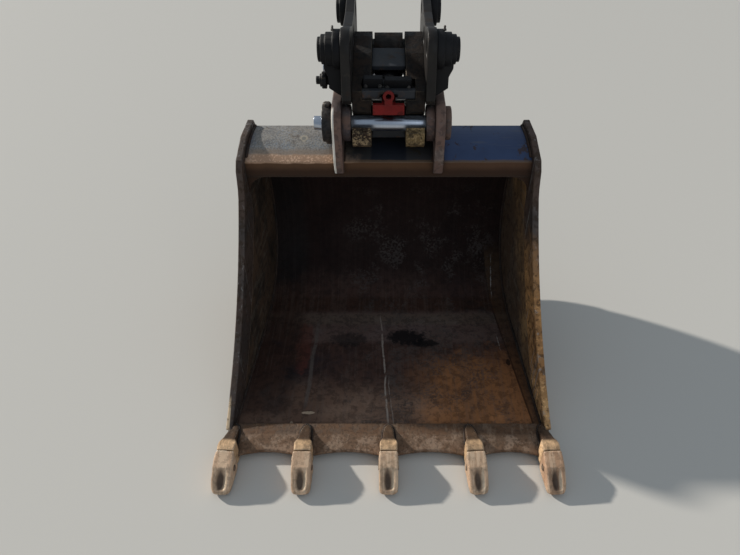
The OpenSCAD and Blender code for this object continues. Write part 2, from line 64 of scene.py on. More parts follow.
# A low sun on the left and a little behind the bucket, in degrees
SUN_FROM_BEHIND = 60
SUN_HEIGHT = 24
SUN_WIDTH = 2.0
SUN_STRENGTH, SUN_COLOUR = 3.6, (1.0, 0.95, 0.87)
SKY_STRENGTH, SKY_COLOUR = 0.36, (0.78, 0.89, 1.0)
BACKDROP_STRENGTH, BACKDROP_COLOUR = 0.9, (0.86, 0.86, 0.85)
FLOOR_COLOUR, FLOOR_ROUGHNESS, FLOOR_SIZE = (0.62, 0.6, 0.56), 0.9, 60
FILL_PLACE, FILL_TARGET = (1.8, -3.4, 3.2), (0, 0, 0.3)
FILL_SIZE, FILL_POWER, FILL_COLOUR = 3.0, 14, (0.92, 0.95, 1.0)

# Lines that slant through the bucket: a coordinate, less or plus a share of another one
SLANTS = {
    "Mouth": ("SUBTRACT", "Y", "Z", 0.98),  # depth behind the slanting line of the bucket's mouth
    "Fold": ("ADD", "X", "Y", 0.107),  # distance across, along the slant of the fold at the floor's right
}


def at(x, y, z):
    """A point of the part's drawing, in mm, as a place in the frame, in metres."""
    return Vector((x / 1000, (y + DRAWING_SHIFT) / 1000, z / 1000))


def linked(thing):
    bpy.context.scene.collection.objects.link(thing)
    return thing


def filled(thing, **settings):
    """The thing, with its properties set."""
    for key, value in settings.items():
        setattr(thing, key, value)
    return thing


# Node trees

NUMBER, VECTOR = "NodeSocketFloat", "NodeSocketVector"


class Web:
    """A node tree, with short names for the nodes that the effects and finishes are made of."""

    def __init__(self, tree):
        self.tree = tree
        self.tree.nodes.clear()

    def put(self, value, socket):
        """Another node's socket, a number, a vector or a colour goes into a socket."""
        if isinstance(value, bpy.types.NodeSocket):
            self.tree.links.new(value, socket)
        elif socket.type == "RGBA":
            socket.default_value = (*value, 1)
        else:
            socket.default_value = value

    def add(self, kind, inputs=None, **settings):
        """A new node with values or sockets in its inputs."""
        node = filled(self.tree.nodes.new("ShaderNode" + kind), **settings)
        for key, value in (inputs or {}).items():
            self.put(value, node.inputs[key])
        return node

    def math(self, operation, a, b=0.0, clamp=False):
        return self.add("Math", {0: a, 1: b}, operation=operation, use_clamp=clamp).outputs[0]

    def times(self, first, *others):
        for one in others:
            first = self.math("MULTIPLY", first, one)
        return first

    def plus(self, a, b):
        return self.math("ADD", a, b)

    def minus(self, a, b):
        return self.math("SUBTRACT", a, b)

    def rest(self, mask):
        """What a mask leaves free."""
        return self.math("SUBTRACT", 1.0, mask, True)

    def shares(self, a, share, b):
        """Two patterns in one, by their shares."""
        return self.plus(self.times(a, share), self.times(b, 1 - share))

    def vector(self, operation, a, b):
        node = self.add("VectorMath", {0: a, 1: b}, operation=operation)
        return node.outputs["Value" if operation == "DOT_PRODUCT" else "Vector"]

    def axes(self, vector):
        return self.add("SeparateXYZ", {0: vector}).outputs

    def place(self):
        return self.add("TexCoord").outputs["Object"]

    def noise(self, where, scale, detail=4.0, rough=0.55, distortion=0.0):
        inputs = {"Vector": where, "Scale": scale, "Detail": detail, "Roughness": rough,
                  "Distortion": distortion}
        return self.add("TexNoise", inputs).outputs["Fac"]

    def uneven(self, where, scale, detail=4.0, rough=0.55):
        """Noise that swings about zero."""
        return self.minus(self.noise(where, scale, detail, rough), 0.5)

    def span(self, value, low, high, smooth=True):
        """0 below low, 1 above high."""
        return self.add("MapRange", {"Value": value, "From Min": low, "From Max": high},
                        interpolation_type="SMOOTHSTEP" if smooth else "LINEAR").outputs["Result"]


# Camera, floor and light

def aimed(name, data, direction, place=(0, 0, 0)):
    """A lamp in the scene that shines along a direction."""
    lamp = linked(bpy.data.objects.new(name, data))
    lamp.location = place
    lamp.rotation_euler = direction.to_track_quat("-Z", "Y").to_euler()


def add_camera():
    data = filled(bpy.data.cameras.new("Camera"), sensor_width=SENSOR, lens=LENS, shift_x=LENS_SHIFT,
                  clip_end=200)
    camera = linked(bpy.data.objects.new("Camera", data))
    camera.location = CAMERA_PLACE
    camera.rotation_euler = (radians(CAMERA_TILT), 0, 0)
    bpy.context.scene.camera = camera


def add_lights():
    sun = filled(bpy.data.lights.new("Sun", "SUN"), energy=SUN_STRENGTH, angle=radians(SUN_WIDTH),
                 color=SUN_COLOUR)
    height, azimuth = radians(SUN_HEIGHT), radians(SUN_FROM_BEHIND)
    flat = cos(height)
    towards = Vector((-sin(azimuth) * flat, cos(azimuth) * flat, sin(height)))
    aimed("Sun", sun, -towards)

    fill = filled(bpy.data.lights.new("Fill", "AREA"), shape="DISK", size=FILL_SIZE, energy=FILL_POWER,
                  color=FILL_COLOUR)
    aimed("Fill", fill, Vector(FILL_TARGET) - Vector(FILL_PLACE), FILL_PLACE)


def add_studio():
    """Sky light, a plain backdrop for the camera and a floor."""
    world = bpy.data.worlds.new("Studio")
    bpy.context.scene.world = world
    world.use_nodes = True
    web = Web(world.node_tree)
    sky = web.add("Background", {"Color": SKY_COLOUR, "Strength": SKY_STRENGTH})
    backdrop = web.add("Background", {"Color": BACKDROP_COLOUR, "Strength": BACKDROP_STRENGTH})
    seen = web.add("LightPath").outputs["Is Camera Ray"]
    both = web.add("MixShader", {"Fac": seen, 1: sky.outputs[0], 2: backdrop.outputs[0]})
    web.add("OutputWorld", {"Surface": both.outputs[0]})
    add_lights()

    bpy.ops.mesh.primitive_plane_add(size=FLOOR_SIZE, location=(0, 0, 0))
    floor = bpy.context.object
    floor.name = "studio_floor"
    finish = bpy.data.materials.new("Studio floor")
    finish.use_nodes = True
    shader = finish.node_tree.nodes["Principled BSDF"]
    shader.inputs["Base Color"].default_value = (*FLOOR_COLOUR, 1)
    shader.inputs["Roughness"].default_value = FLOOR_ROUGHNESS
    floor.data.materials.append(finish)
    bpy.context.scene.view_settings.view_transform = "Standard"


# Effects that several finishes share

class Effect(Web):
    """A shader group being built, with named inputs and outputs; a normal's output is a vector."""

    def __init__(self, name, inputs, *outputs):
        super().__init__(bpy.data.node_groups.new(name, "ShaderNodeTree"))
        new_socket = self.tree.interface.new_socket
        for label, value in inputs.items():
            kind = VECTOR if isinstance(value, tuple) else NUMBER
            new_socket(name=label, in_out="INPUT", socket_type=kind).default_value = value
        for label in outputs:
            new_socket(name=label, in_out="OUTPUT", socket_type=VECTOR if "normal" in label else NUMBER)
        self.taken = self.tree.nodes.new("NodeGroupInput").outputs
        self.given = self.tree.nodes.new("NodeGroupOutput").inputs

    def __getitem__(self, label):
        return self.taken[label]

    def __setitem__(self, label, socket):
        self.put(socket, self.given[label])


def build_worn_edges():
    """Rubbed metal along outer edges, a softened normal there, and the darkening of corners from ambient
    occlusion, dirt and painted shade in one.
    """
    g = Effect("Worn edges", {"Radius": 0.006, "Amount": 4.0, "Corner reach": 0.05},
               "Wear", "Corners", "Soft normal")
    place = g.place()
    soft = g.add("Bevel", {"Radius": g["Radius"]}, samples=4).outputs["Normal"]
    turned = g.rest(g.vector("DOT_PRODUCT", soft, g.add("NewGeometry").outputs["Normal"]))
    open_air = g.add("AmbientOcclusion", {"Distance": g["Corner reach"]}, samples=6).outputs["AO"]
    chipped = g.plus(0.25, g.noise(place, 38.0, 5.0, 0.6))
    wear = g.times(turned, g["Amount"], chipped, g.span(open_air, 0.55, 0.9))
    # Darkening where the surroundings close in, from ambient occlusion: dirt and painted shade
    dirt = g.times(g.rest(open_air), g.plus(0.5, g.noise(place, 21.0)))
    g["Wear"] = g.span(wear, 0.12, 0.5)
    g["Corners"] = g.span(dirt, 0.18, 0.75)
    g["Soft normal"] = soft


def build_rust_patches():
    """Patches of rust with a ragged rim, and the grain of a scaled surface."""
    g = Effect("Rust patches", {"Scale": 6.0, "Cover": 0.5, "Softness": 0.12}, "Patches", "Clouds", "Grain")
    place = g.place()
    wide = g.noise(place, g["Scale"], 8.0, 0.62, 0.35)
    fine = g.noise(place, g.times(g["Scale"], 9.0), 6.0, 0.65)
    level = g.minus(0.72, g.times(g.span(g["Cover"], 0.0, 1.0, False), 0.44))
    g["Patches"] = g.span(g.shares(wide, 0.78, fine), g.minus(level, g["Softness"]), level)
    g["Clouds"] = g.span(wide, 0.3, 0.7, False)
    g["Grain"] = fine


def build_speckle():
    """Small round chips of dirt and bare steel."""
    g = Effect("Speckle", {"Scale": 150.0, "Cover": 0.4}, "Specks")
    place = g.place()
    dots = g.noise(place, g["Scale"], 2.0, 0.5)
    wide = g.noise(place, g.times(g["Scale"], 0.12), 3.0, 0.6)
    level = g.minus(0.66, g.times(g["Cover"], 0.32))
    g["Specks"] = g.span(g.shares(dots, 0.72, wide), g.minus(level, 0.07), level)


def build_scrape_marks():
    """Long thin marks: the pattern is squeezed across the way that the digging runs."""
    g = Effect("Scrape marks", {"Stretch": (60.0, 3.0, 3.0), "Cover": 0.4}, "Marks", "Grooves")
    place = g.place()
    lines = g.noise(g.vector("MULTIPLY", place, g["Stretch"]), 1.0, 5.0, 0.7)
    gaps = g.noise(place, 5.0, 4.0, 0.6, 0.4)
    level = g.minus(0.72, g.times(g["Cover"], 0.34))
    g["Marks"] = g.span(g.shares(lines, 0.72, gaps), g.minus(level, 0.07), level)
    g["Grooves"] = lines


def build_settled_dust():
    """Dust and dried mud that lies on faces that look upwards."""
    g = Effect("Settled dust", {"Scale": 9.0, "Amount": 0.5}, "Dust")
    up = g.span(g.axes(g.add("NewGeometry").outputs["Normal"])["Z"], 0.1, 0.95)
    spots = g.plus(g.noise(g.place(), g["Scale"], 9.0, 0.68, 0.2), g.times(g["Amount"], 0.35))
    g["Dust"] = g.times(up, g.span(spots, 0.5, 0.78))


def build_scour_line():
    """One long mark along the floor at a place across the bucket, with a wandering edge and faded ends."""
    g = Effect("Scour line", {"Across": 0.0, "Half width": 0.005, "Front": -0.4, "Back": 0.1, "Lean": 0.0,
                              "Wander": 0.03, "Gaps": 0.45}, "Line")
    fade = 0.06
    place = g.place()
    axes = g.axes(place)
    across = g.plus(g.minus(axes["X"], g["Across"]), g.times(g.uneven(place, 7.0), g["Wander"]))
    across = g.minus(across, g.times(axes["Y"], g["Lean"]))
    body = g.rest(g.span(g.math("DIVIDE", g.math("ABSOLUTE", across), g["Half width"]), 0.35, 1.0))
    front = g.span(axes["Y"], g["Front"], g.plus(g["Front"], fade))
    back = g.rest(g.span(axes["Y"], g.minus(g["Back"], fade), g["Back"]))
    broken = g.span(g.noise(place, 30.0, 5.0, 0.7), g.minus(g["Gaps"], 0.08), g.plus(g["Gaps"], 0.1))
    g["Line"] = g.times(body, g.times(front, back), broken)


def build_floor_spot():
    """A small ragged patch at a place on the floor."""
    g = Effect("Floor spot", {"Centre": (0.0, 0.0, 0.0), "Wide": 0.02, "Deep": 0.02}, "Spot")
    place = g.place()
    off = g.axes(g.vector("SUBTRACT", place, g["Centre"]))
    across = g.math("POWER", g.math("DIVIDE", off["X"], g["Wide"]), 2.0)
    along = g.math("POWER", g.math("DIVIDE", off["Y"], g["Deep"]), 2.0)
    total = g.plus(g.plus(across, along), g.times(g.uneven(place, 45.0, 5.0, 0.65), 3.0))
    g["Spot"] = g.times(g.rest(g.span(total, 0.4, 1.1)), g.rest(g.span(off["Z"], 0.02, 0.05)))


def build_zone():
    """1 between two values of one coordinate, with a ragged border."""
    g = Effect("Zone", {"Value": 0.0, "Low": 0.0, "High": 1.0, "Soft": 0.05, "Ragged": 0.05}, "Zone")
    value = g.plus(g["Value"], g.times(g.uneven(g.place(), 14.0, 6.0, 0.65), g["Ragged"]))
    rise = g.span(value, g.minus(g["Low"], g["Soft"]), g["Low"])
    fall = g.span(value, g["High"], g.plus(g["High"], g["Soft"]))
    g["Zone"] = g.times(rise, g.rest(fall))


def build_outer_side():
    """1 where a face of the curved shell looks away from the bucket's inside."""
    g = Effect("Outer side", {"Centre": (0.0, 0.05, 0.38)}, "Outside")
    face = g.add("NewGeometry").outputs
    away = g.vector("SUBTRACT", face["Position"], g["Centre"])
    g["Outside"] = g.span(g.vector("DOT_PRODUCT", away, face["Normal"]), -0.01, 0.01)


# Finishes

def scaled(colour, *factors):
    """A colour made darker or lighter, as a whole or by channel, but never past 1."""
    if len(factors) == 1:
        factors *= 3
    return tuple(min(1.0, c * k) for c, k in zip(colour, factors))


class Finish(Web):
    """A material under construction: masks laid over a base, each with its colour, roughness and metal."""

    def __init__(self, name, radius, amount, reach):
        """The worn edges: their radius, how strongly they show, and how far the corners' dirt and painted
        shade reach.
        """
        self.material = bpy.data.materials.new(name)
        self.material.use_nodes = True
        super().__init__(self.material.node_tree)
        self.shader = self.add("BsdfPrincipled")
        self.add("OutputMaterial", {"Surface": self.shader.outputs[0]})
        self.lines = {}
        self.edges = self.effect("Worn edges", Radius=radius, Amount=amount, Corner_reach=reach)

    def effect(self, name, **values):
        """A shared effect; an underscore in a key stands for the blank in its label."""
        inputs = {key.replace("_", " "): value for key, value in values.items()}
        return self.add("Group", inputs, node_tree=bpy.data.node_groups[name]).outputs

    def patches(self, scale, cover, softness):
        return self.effect("Rust patches", Scale=scale, Cover=cover, Softness=softness)

    def marks(self, stretch, cover):
        return self.effect("Scrape marks", Stretch=stretch, Cover=cover)

    def specks(self, scale, cover):
        return self.effect("Speckle", Scale=scale, Cover=cover)["Specks"]

    def dust(self, scale, amount):
        return self.effect("Settled dust", Scale=scale, Amount=amount)["Dust"]

    def spot(self, centre, wide, deep):
        return self.effect("Floor spot", Centre=centre, Wide=wide, Deep=deep)["Spot"]

    def line(self, name):
        """A coordinate of the frame, or a slanting one."""
        if not self.lines:
            axes = self.axes(self.place())
            self.lines = {axis: axes[axis] for axis in "XYZ"}
        if name not in self.lines:
            operation, first, second, slope = SLANTS[name]
            self.lines[name] = self.math(operation, self.lines[first], self.times(self.lines[second], slope))
        return self.lines[name]

    def zone(self, line, low, high, soft, ragged):
        """1 between two values of a coordinate; soft and ragged are the widths of its border, in metres."""
        return self.effect("Zone", Value=self.line(line), Low=low, High=high, Soft=soft,
                           Ragged=ragged)["Zone"]

    def mix(self, kind, a, b, mask):
        """The kinds share their labels, so the sockets go by number."""
        first, second, result = {"RGBA": (6, 7, 2), "FLOAT": (2, 3, 0)}[kind]
        return self.add("Mix", {first: a, second: b, "Factor": mask}, data_type=kind).outputs[result]

    def base(self, first, second, mask, roughness, metal):
        self.colour = self.mix("RGBA", first, second, mask)
        self.roughness = self.mix("FLOAT", *roughness, mask)
        self.metal = metal

    def over(self, masks, colour, roughness, amount, metal=0.0):
        """Lays a coat where all the masks are."""
        masks = masks if isinstance(masks, tuple) else (masks,)
        mask = self.times(*masks, amount)
        self.colour = self.mix("RGBA", self.colour, colour, mask)
        self.roughness = self.mix("FLOAT", self.roughness, roughness, mask)
        if metal != self.metal:
            self.metal = self.mix("FLOAT", self.metal, metal, mask)

    def zones(self, rows):
        """Each row holds its limits as zone() takes them, the colour inside them and its strength."""
        for limits, colour, strength in rows:
            self.over(tuple(self.zone(*limit) for limit in limits), colour, 0.6, strength)

    def done(self, first, *others, gloss=0.35):
        """The bump comes from pairs of a pattern and its height in mm."""
        total = self.times(first[0], first[1] / 1000)
        for pattern, height in others:
            total = self.plus(total, self.times(pattern, height / 1000))
        bump = self.add("Bump", {"Strength": 1.0, "Distance": 1.0, "Height": total,
                                 "Normal": self.edges["Soft normal"]})
        for label, value in (("Specular IOR Level", gloss), ("Base Color", self.colour),
                             ("Metallic", self.metal), ("Roughness", self.roughness),
                             ("Normal", bump.outputs["Normal"])):
            self.put(value, self.shader.inputs[label])
        return self.material


# Long marks inside the bucket, the last two of them painted glints along the folds between floor and sides:
# place across, half width, front end, rear end, lean, gaps, strength and colour
SCOUR_LINES = (
    (-0.268, 0.009, -0.35, 0.1, 0.03, 0.42, 0.65, (0.15, 0.122, 0.108)),
    (-0.024, 0.0045, -0.44, 0.02, -0.055, 0.42, 0.62, (0.5, 0.43, 0.37)),
    (-0.014, 0.0025, -0.44, -0.18, -0.075, 0.46, 0.5, (0.4, 0.33, 0.28)),
    (-0.026, 0.0035, -0.06, 0.13, -0.045, 0.42, 0.8, (0.34, 0.27, 0.23)),
    (0.205, 0.006, -0.22, 0.09, -0.09, 0.46, 0.45, (0.12, 0.092, 0.076)),
    (0.236, 0.004, -0.2, 0.02, -0.05, 0.5, 0.4, (0.13, 0.1, 0.082)),
    (0.398, 0.0028, 0.19, 0.36, 0.045, 0.5, 0.9, (0.55, 0.52, 0.5)),
    # Painted glints where the floor turns up into the sides
    (0.405, 0.0022, -0.12, 0.06, -0.107, 0.53, 0.85, (0.45, 0.4, 0.36)),
    (-0.466, 0.0022, -0.05, 0.02, 0.02, 0.5, 0.85, (0.6, 0.56, 0.52)),
)

# Small scuffs and oily spots on the floor: x, y, radius across, radius along, strength and colour
SPOTS = (
    (0.07, -0.01, 0.075, 0.045, 0.9, (0.004, 0.004, 0.005)),
    (0.135, -0.04, 0.05, 0.022, 0.85, (0.003, 0.003, 0.004)),
    (-0.15, -0.02, 0.07, 0.04, 0.6, (0.006, 0.006, 0.006)),
    (0.428, -0.131, 0.01, 0.018, 0.85, (0.004, 0.004, 0.004)),
    (0.462, -0.402, 0.012, 0.008, 0.9, (0.003, 0.003, 0.003)),
    (-0.264, -0.352, 0.022, 0.006, 0.85, (0.52, 0.39, 0.28)),
    (-0.315, -0.4, 0.006, 0.016, 0.75, (0.34, 0.25, 0.18)),
)
FLOOR_Z = 0.03


def shell_steel():
    """Rusted floor and back, scoured towards the mouth; old paint left on the outside."""
    f = Finish("Scoured shell", 0.004, 3.0, 0.05)
    rust = f.patches(5.0, 0.45, 0.2)
    pits = f.patches(48.0, 0.3, 0.12)
    marks = f.marks((80.0, 2.0, 2.0), 0.46)
    f.base((0.03, 0.02, 0.021), (0.082, 0.054, 0.051), rust["Clouds"], (0.66, 0.54), 0.0)

    # The back, dark with rust and painted shade; the pale rear strip of the floor and the dark strip behind
    # it
    wall = f.zone("Z", 0.12, 0.9, 0.1, 0.06)
    # Painted shade over the rust of the back wall and heel
    f.over(wall, (0.0085, 0.0029, 0.0028), 0.75, 0.88)
    f.over(f.zone("Y", 0.125, 0.19, 0.02, 0.01), (0.01, 0.007, 0.007), 0.8, 0.7)
    f.over(f.zone("Y", -0.02, 0.115, 0.03, 0.04), (0.18, 0.138, 0.13), 0.6, 0.66)
    f.over(f.zone("Y", 0.07, 0.108, 0.018, 0.02), (0.17, 0.145, 0.118), 0.6, 0.7)

    # The left side of the floor, darker and bluer with painted shade, its red stain, and the rubbed front
    # with painted shade at its left end
    left = f.zone("X", -0.9, -0.36, 0.06, 0.06)
    f.over(left, (0.008, 0.008, 0.009), 0.6, 0.75)
    f.over(f.spot((-0.312, -0.05, FLOOR_Z), 0.034, 0.15), (0.125, 0.034, 0.024), 0.7, 0.6)
    front = f.zone("Y", -0.7, -0.34, 0.16, 0.1)
    f.over(front, (0.31, 0.196, 0.138), 0.6, 0.92)
    # Painted shade at the left end of the front and down the left part of the floor
    f.over((front, f.zone("X", -0.9, -0.26, 0.1, 0.1)), (0.035, 0.03, 0.03), 0.6, 0.5)
    f.over((f.zone("Y", -0.33, 0.06, 0.05, 0.05), left), (0.012, 0.012, 0.015), 0.6, 0.75)

    # Orange rust at the front right, and the fold where the floor meets the right side, with a painted shadow
    # line along it
    orange = f.times(f.zone("X", 0.24, 0.9, 0.2, 0.22), f.zone("Y", -0.6, -0.2, 0.16, 0.3))
    f.over(orange, (0.43, 0.175, 0.064), 0.75, 0.8)
    f.over((f.patches(7.0, 0.46, 0.18)["Patches"], orange), (0.52, 0.225, 0.085), 0.75, 0.6)
    on_floor = f.zone("Z", -0.1, 0.12, 0.08, 0.05)
    f.over((f.zone("Fold", 0.428, 0.9, 0.006, 0.004), on_floor), (0.095, 0.055, 0.028), 0.7, 0.7)
    # Painted shadow line along the fold
    f.over((f.zone("Fold", 0.4225, 0.4265, 0.002, 0.003), on_floor), (0.01, 0.007, 0.006), 0.8, 0.8)

    # Wear all over, the pale bloom on the back, and the marks that show in the picture
    lit = f.rest(f.times(wall, 0.85))
    f.over((rust["Patches"], lit), (0.09, 0.036, 0.018), 0.85, 0.45)
    f.over((marks["Marks"], lit), (0.125, 0.092, 0.076), 0.5, 0.25, metal=0.2)
    bloom = (f.patches(9.0, 0.3, 0.1)["Patches"], f.specks(120.0, 0.42),
             f.zone("X", -0.1, 0.36, 0.12, 0.1), f.zone("Z", -0.1, 0.3, 0.18, 0.1))
    f.over(bloom, (0.085, 0.072, 0.066), 0.6, 0.55, metal=0.1)
    f.over(pits["Patches"], (0.014, 0.009, 0.008), 0.8, 0.4)
    # The long marks, two of them painted glints, and then the spots
    for across, half, first, last, lean, gaps, strength, colour in SCOUR_LINES:
        line = f.effect("Scour line", Across=across, Half_width=half, Front=first, Back=last, Lean=lean,
                        Gaps=gaps)
        f.over(line["Line"], colour, 0.45, strength, metal=0.3)
    for x, y, wide, deep, strength, colour in SPOTS:
        f.over(f.spot((x, y, FLOOR_Z), wide, deep), colour, 0.6, strength)

    old_paint = (f.effect("Outer side")["Outside"], f.patches(4.0, 0.62, 0.05)["Patches"])
    f.over(old_paint, (0.03, 0.04, 0.062), 0.5, 0.9)
    f.over(f.edges["Wear"], (0.16, 0.12, 0.095), 0.45, 0.7, metal=0.4)
    # Dirt and painted shade in the corners
    f.over(f.edges["Corners"], (0.024, 0.014, 0.01), 0.9, 0.4)
    return f.done((rust["Grain"], 1.1), (pits["Patches"], -0.6), (marks["Grooves"], 0.8), gloss=0.2)


def worn_plate(name, dark, light, rust_colour, mark_colour, stretch, covers, mark_amount=0.6,
               edge_colour=(0.42, 0.37, 0.32), edge_wear=3.0, metal=0.15, dust=0.35,
               dust_colour=(0.2, 0.17, 0.14), scale=8.0, pits=0.9, zones=(), top_zones=()):
    """Plate that earth has rubbed for years; covers holds the shares of rust and of marks."""
    f = Finish(name, 0.005, edge_wear, 0.05)
    rust = f.patches(scale, covers[0], 0.13)
    spots = f.patches(scale * 5, 0.33, 0.07)
    marks = f.marks(stretch, covers[1])
    f.base(dark, light, rust["Clouds"], (0.65, 0.48), metal)
    f.zones(zones)
    f.over(rust["Patches"], rust_colour, 0.85, 0.75)
    f.over(marks["Marks"], mark_colour, 0.38, mark_amount, min(1.0, metal + 0.4))
    f.over(spots["Patches"], scaled(dark, 0.45), 0.8, 0.5)
    f.over(f.edges["Wear"], edge_colour, 0.36, 0.9, min(1.0, metal + 0.5))
    f.over(f.dust(scale * 2.2, dust), dust_colour, 0.9, dust)
    f.zones(top_zones)
    # Dirt and painted shade in the corners
    f.over(f.edges["Corners"], scaled(dark, 0.5), 0.9, 0.6)
    return f.done((rust["Grain"], pits), (spots["Patches"], -0.5), (marks["Grooves"], 0.5))


def beam_paint():
    """Faded blue-grey paint: dark blue with painted shade and painted sky reflection, pale grey with painted
    sunlight and dust to the left; rust and bare steel at the front lip.
    """
    f = Finish("Beam paint", 0.005, 3.2, 0.04)
    clouds = f.patches(3.2, 0.5, 0.2)
    chips = f.patches(17.0, 0.25, 0.03)
    # The dark blue base is the paint in painted shade with a painted reflection of the sky
    f.base((0.023, 0.044, 0.112), (0.05, 0.088, 0.198), clouds["Clouds"], (0.36, 0.5), 0.0)
    # Painted sunlight on the dusty left part; the far left strip stays in painted shade
    left = f.zone("X", -0.425, -0.19, 0.09, 0.12)
    f.over(left, (0.236, 0.262, 0.284), 0.62, 0.88)
    f.over(f.marks((4.0, 55.0, 55.0), 0.3)["Marks"], (0.11, 0.115, 0.125), 0.5, 0.35)
    f.over(chips["Patches"], (0.055, 0.034, 0.026), 0.85, 0.8)

    # Shaded and oily between the ears, darkest in the middle
    f.over(f.zone("X", -0.15, 0.15, 0.02, 0.03), (0.034, 0.028, 0.015), 0.55, 0.85)
    f.over(f.zone("X", -0.054, 0.054, 0.008, 0.012), (0.007, 0.01, 0.018), 0.5, 0.9)

    # Dust and grit to the left, with a pale ring on it
    f.over((f.dust(20.0, 0.3), left), (0.33, 0.31, 0.28), 0.9, 0.5)
    brown = f.specks(170.0, 0.5)
    f.over((brown, left), (0.115, 0.088, 0.068), 0.8, 0.55)
    f.over((f.specks(210.0, 0.42), left), (0.42, 0.385, 0.33), 0.8, 0.45)
    f.over((f.zone("Z", 0.6, 0.6965, 0.008, 0.01), left), (0.3, 0.215, 0.15), 0.8, 0.6)
    for wide, colour in ((0.014, (0.42, 0.37, 0.29)), (0.008, (0.19, 0.19, 0.18))):
        f.over(f.spot((-0.2804, 0.243, 0.716), wide, wide * 1.3), colour, 0.7, 0.85)

    # The lip from below: rust, painted shade on the underside, a faint painted highlight along its rim, the
    # crease and the bare band over it
    f.over(f.zone("Z", 0.5, 0.676, 0.003, 0.006), (0.1, 0.046, 0.019), 0.8, 0.96)
    # Painted shade on the underside
    f.over(f.zone("Z", 0.5, 0.642, 0.024, 0.012), (0.036, 0.016, 0.008), 0.85, 0.86)
    # Painted highlight along the rim
    f.over(f.zone("Z", 0.622, 0.631, 0.004, 0.012), (0.03, 0.019, 0.013), 0.7, 0.35, metal=0.1)
    f.over(f.zone("Z", 0.675, 0.68, 0.002, 0.006), (0.15, 0.095, 0.058), 0.7, 0.75, metal=0.1)
    band = f.times(f.zone("Z", 0.676, 0.688, 0.006, 0.012), left)
    f.over(band, (0.74, 0.48, 0.32), 0.8, 0.9)
    f.over((brown, band), (0.26, 0.14, 0.082), 0.8, 0.55)

    f.over(f.edges["Wear"], (0.15, 0.12, 0.1), 0.45, 0.7, metal=0.4)
    # Dirt and painted shade in the corners
    f.over(f.edges["Corners"], (0.014, 0.012, 0.011), 0.85, 0.7)
    return f.done((clouds["Grain"], 0.35), (chips["Patches"], -0.25))


def bright_pin(name, colour, cover):
    """Ground steel with fine turning marks round it and a little old grease."""
    f = Finish(name, 0.002, 2.0, 0.02)
    grease = (0.07, 0.06, 0.05)
    rings = f.marks((420.0, 14.0, 14.0), 0.5)
    film = f.patches(16.0, cover, 0.12)
    f.base(scaled(colour, 0.9), colour, rings["Grooves"], (0.34, 0.27), 1.0)
    f.over(rings["Marks"], scaled(colour, 1.1), 0.29, 0.3, metal=1.0)
    f.over(film["Patches"], grease, 0.4, 0.3, metal=0.6)
    # Grease and painted shade in the corners
    f.over(f.edges["Corners"], scaled(grease, 0.6), 0.7, 0.8)
    return f.done((rings["Grooves"], 0.008), (film["Grain"], 0.01))


def coat(name, dark, light, chip, edge_colour, scale=14.0, chip_cover=0.22, dust=0.4,
         rust=(0.11, 0.055, 0.03), zones=()):
    """Workshop paint with chips, dust on top and rust that creeps from its edges."""
    f = Finish(name, 0.004, 3.0, 0.03)
    clouds = f.patches(scale * 0.4, 0.5, 0.2)
    chips = f.patches(scale, chip_cover, 0.03)
    f.base(dark, light, clouds["Clouds"], (0.38, 0.5), 0.0)
    f.over(f.patches(scale * 1.6, chip_cover * 0.8, 0.1)["Patches"], rust, 0.85, 0.6)
    f.over(chips["Patches"], chip, 0.55, 0.8, metal=0.2)
    f.over(f.edges["Wear"], edge_colour, 0.4, 0.85, metal=0.55)
    f.over(f.dust(scale * 1.5, dust), (0.15, 0.13, 0.11), 0.9, dust)
    f.zones(zones)
    # Dirt and painted shade in the corners
    f.over(f.edges["Corners"], scaled(dark, 0.4), 0.8, 0.6)
    return f.done((clouds["Grain"], 0.25), (chips["Patches"], -0.2), gloss=0.2)


def side_bar():
    """Thick mouth bars: dark at the top, silver rubs along them, orange and pitted to the lower right."""
    f = Finish("Side bar", 0.005, 3.0, 0.05)
    rust = f.patches(8.0, 0.42, 0.13)
    spots = f.patches(42.0, 0.34, 0.05)
    rubs = f.marks((55.0, 55.0, 3.0), 0.3)
    f.base((0.048, 0.036, 0.032), (0.134, 0.11, 0.098), rust["Clouds"], (0.6, 0.45), 0.1)
    f.over(rust["Patches"], (0.07, 0.034, 0.019), 0.85, 0.6)

    right = f.zone("X", 0.1, 2.0, 0.05, 0.0)
    orange = f.times(right, f.zone("Z", -0.1, 0.26, 0.24, 0.26))
    f.over(orange, (0.8, 0.42, 0.16), 0.8, 0.88)
    f.over((right, f.zone("Z", -0.1, 0.1, 0.06, 0.05)), (1.0, 0.62, 0.29), 0.8, 0.7)
    f.over((f.specks(120.0, 0.55), orange), (0.3, 0.15, 0.056), 0.85, 0.5)
    f.over((f.patches(20.0, 0.42, 0.1)["Patches"], orange), (0.235, 0.108, 0.04), 0.85, 0.55)

    # The pale worn front at the left bar's foot
    toe = (f.zone("X", -0.8, -0.5065, 0.003, 0.002), f.zone("Z", -0.1, 0.09, 0.06, 0.03),
           f.zone("Mouth", -2.0, -0.452, 0.006, 0.006))
    f.over(toe, (0.8, 0.6, 0.39), 0.7, 0.85)

    f.over(rubs["Marks"], (0.36, 0.34, 0.325), 0.38, 0.6, metal=0.4)
    f.over(spots["Patches"], (0.046, 0.027, 0.014), 0.85, 0.65)
    f.over(f.edges["Wear"], (0.42, 0.36, 0.3), 0.4, 0.7, metal=0.4)
    # Dirt and painted shade in the corners
    f.over(f.edges["Corners"], (0.012, 0.009, 0.008), 0.9, 0.6)
    return f.done((rust["Grain"], 0.9), (spots["Patches"], -0.9), (rubs["Grooves"], 0.4))


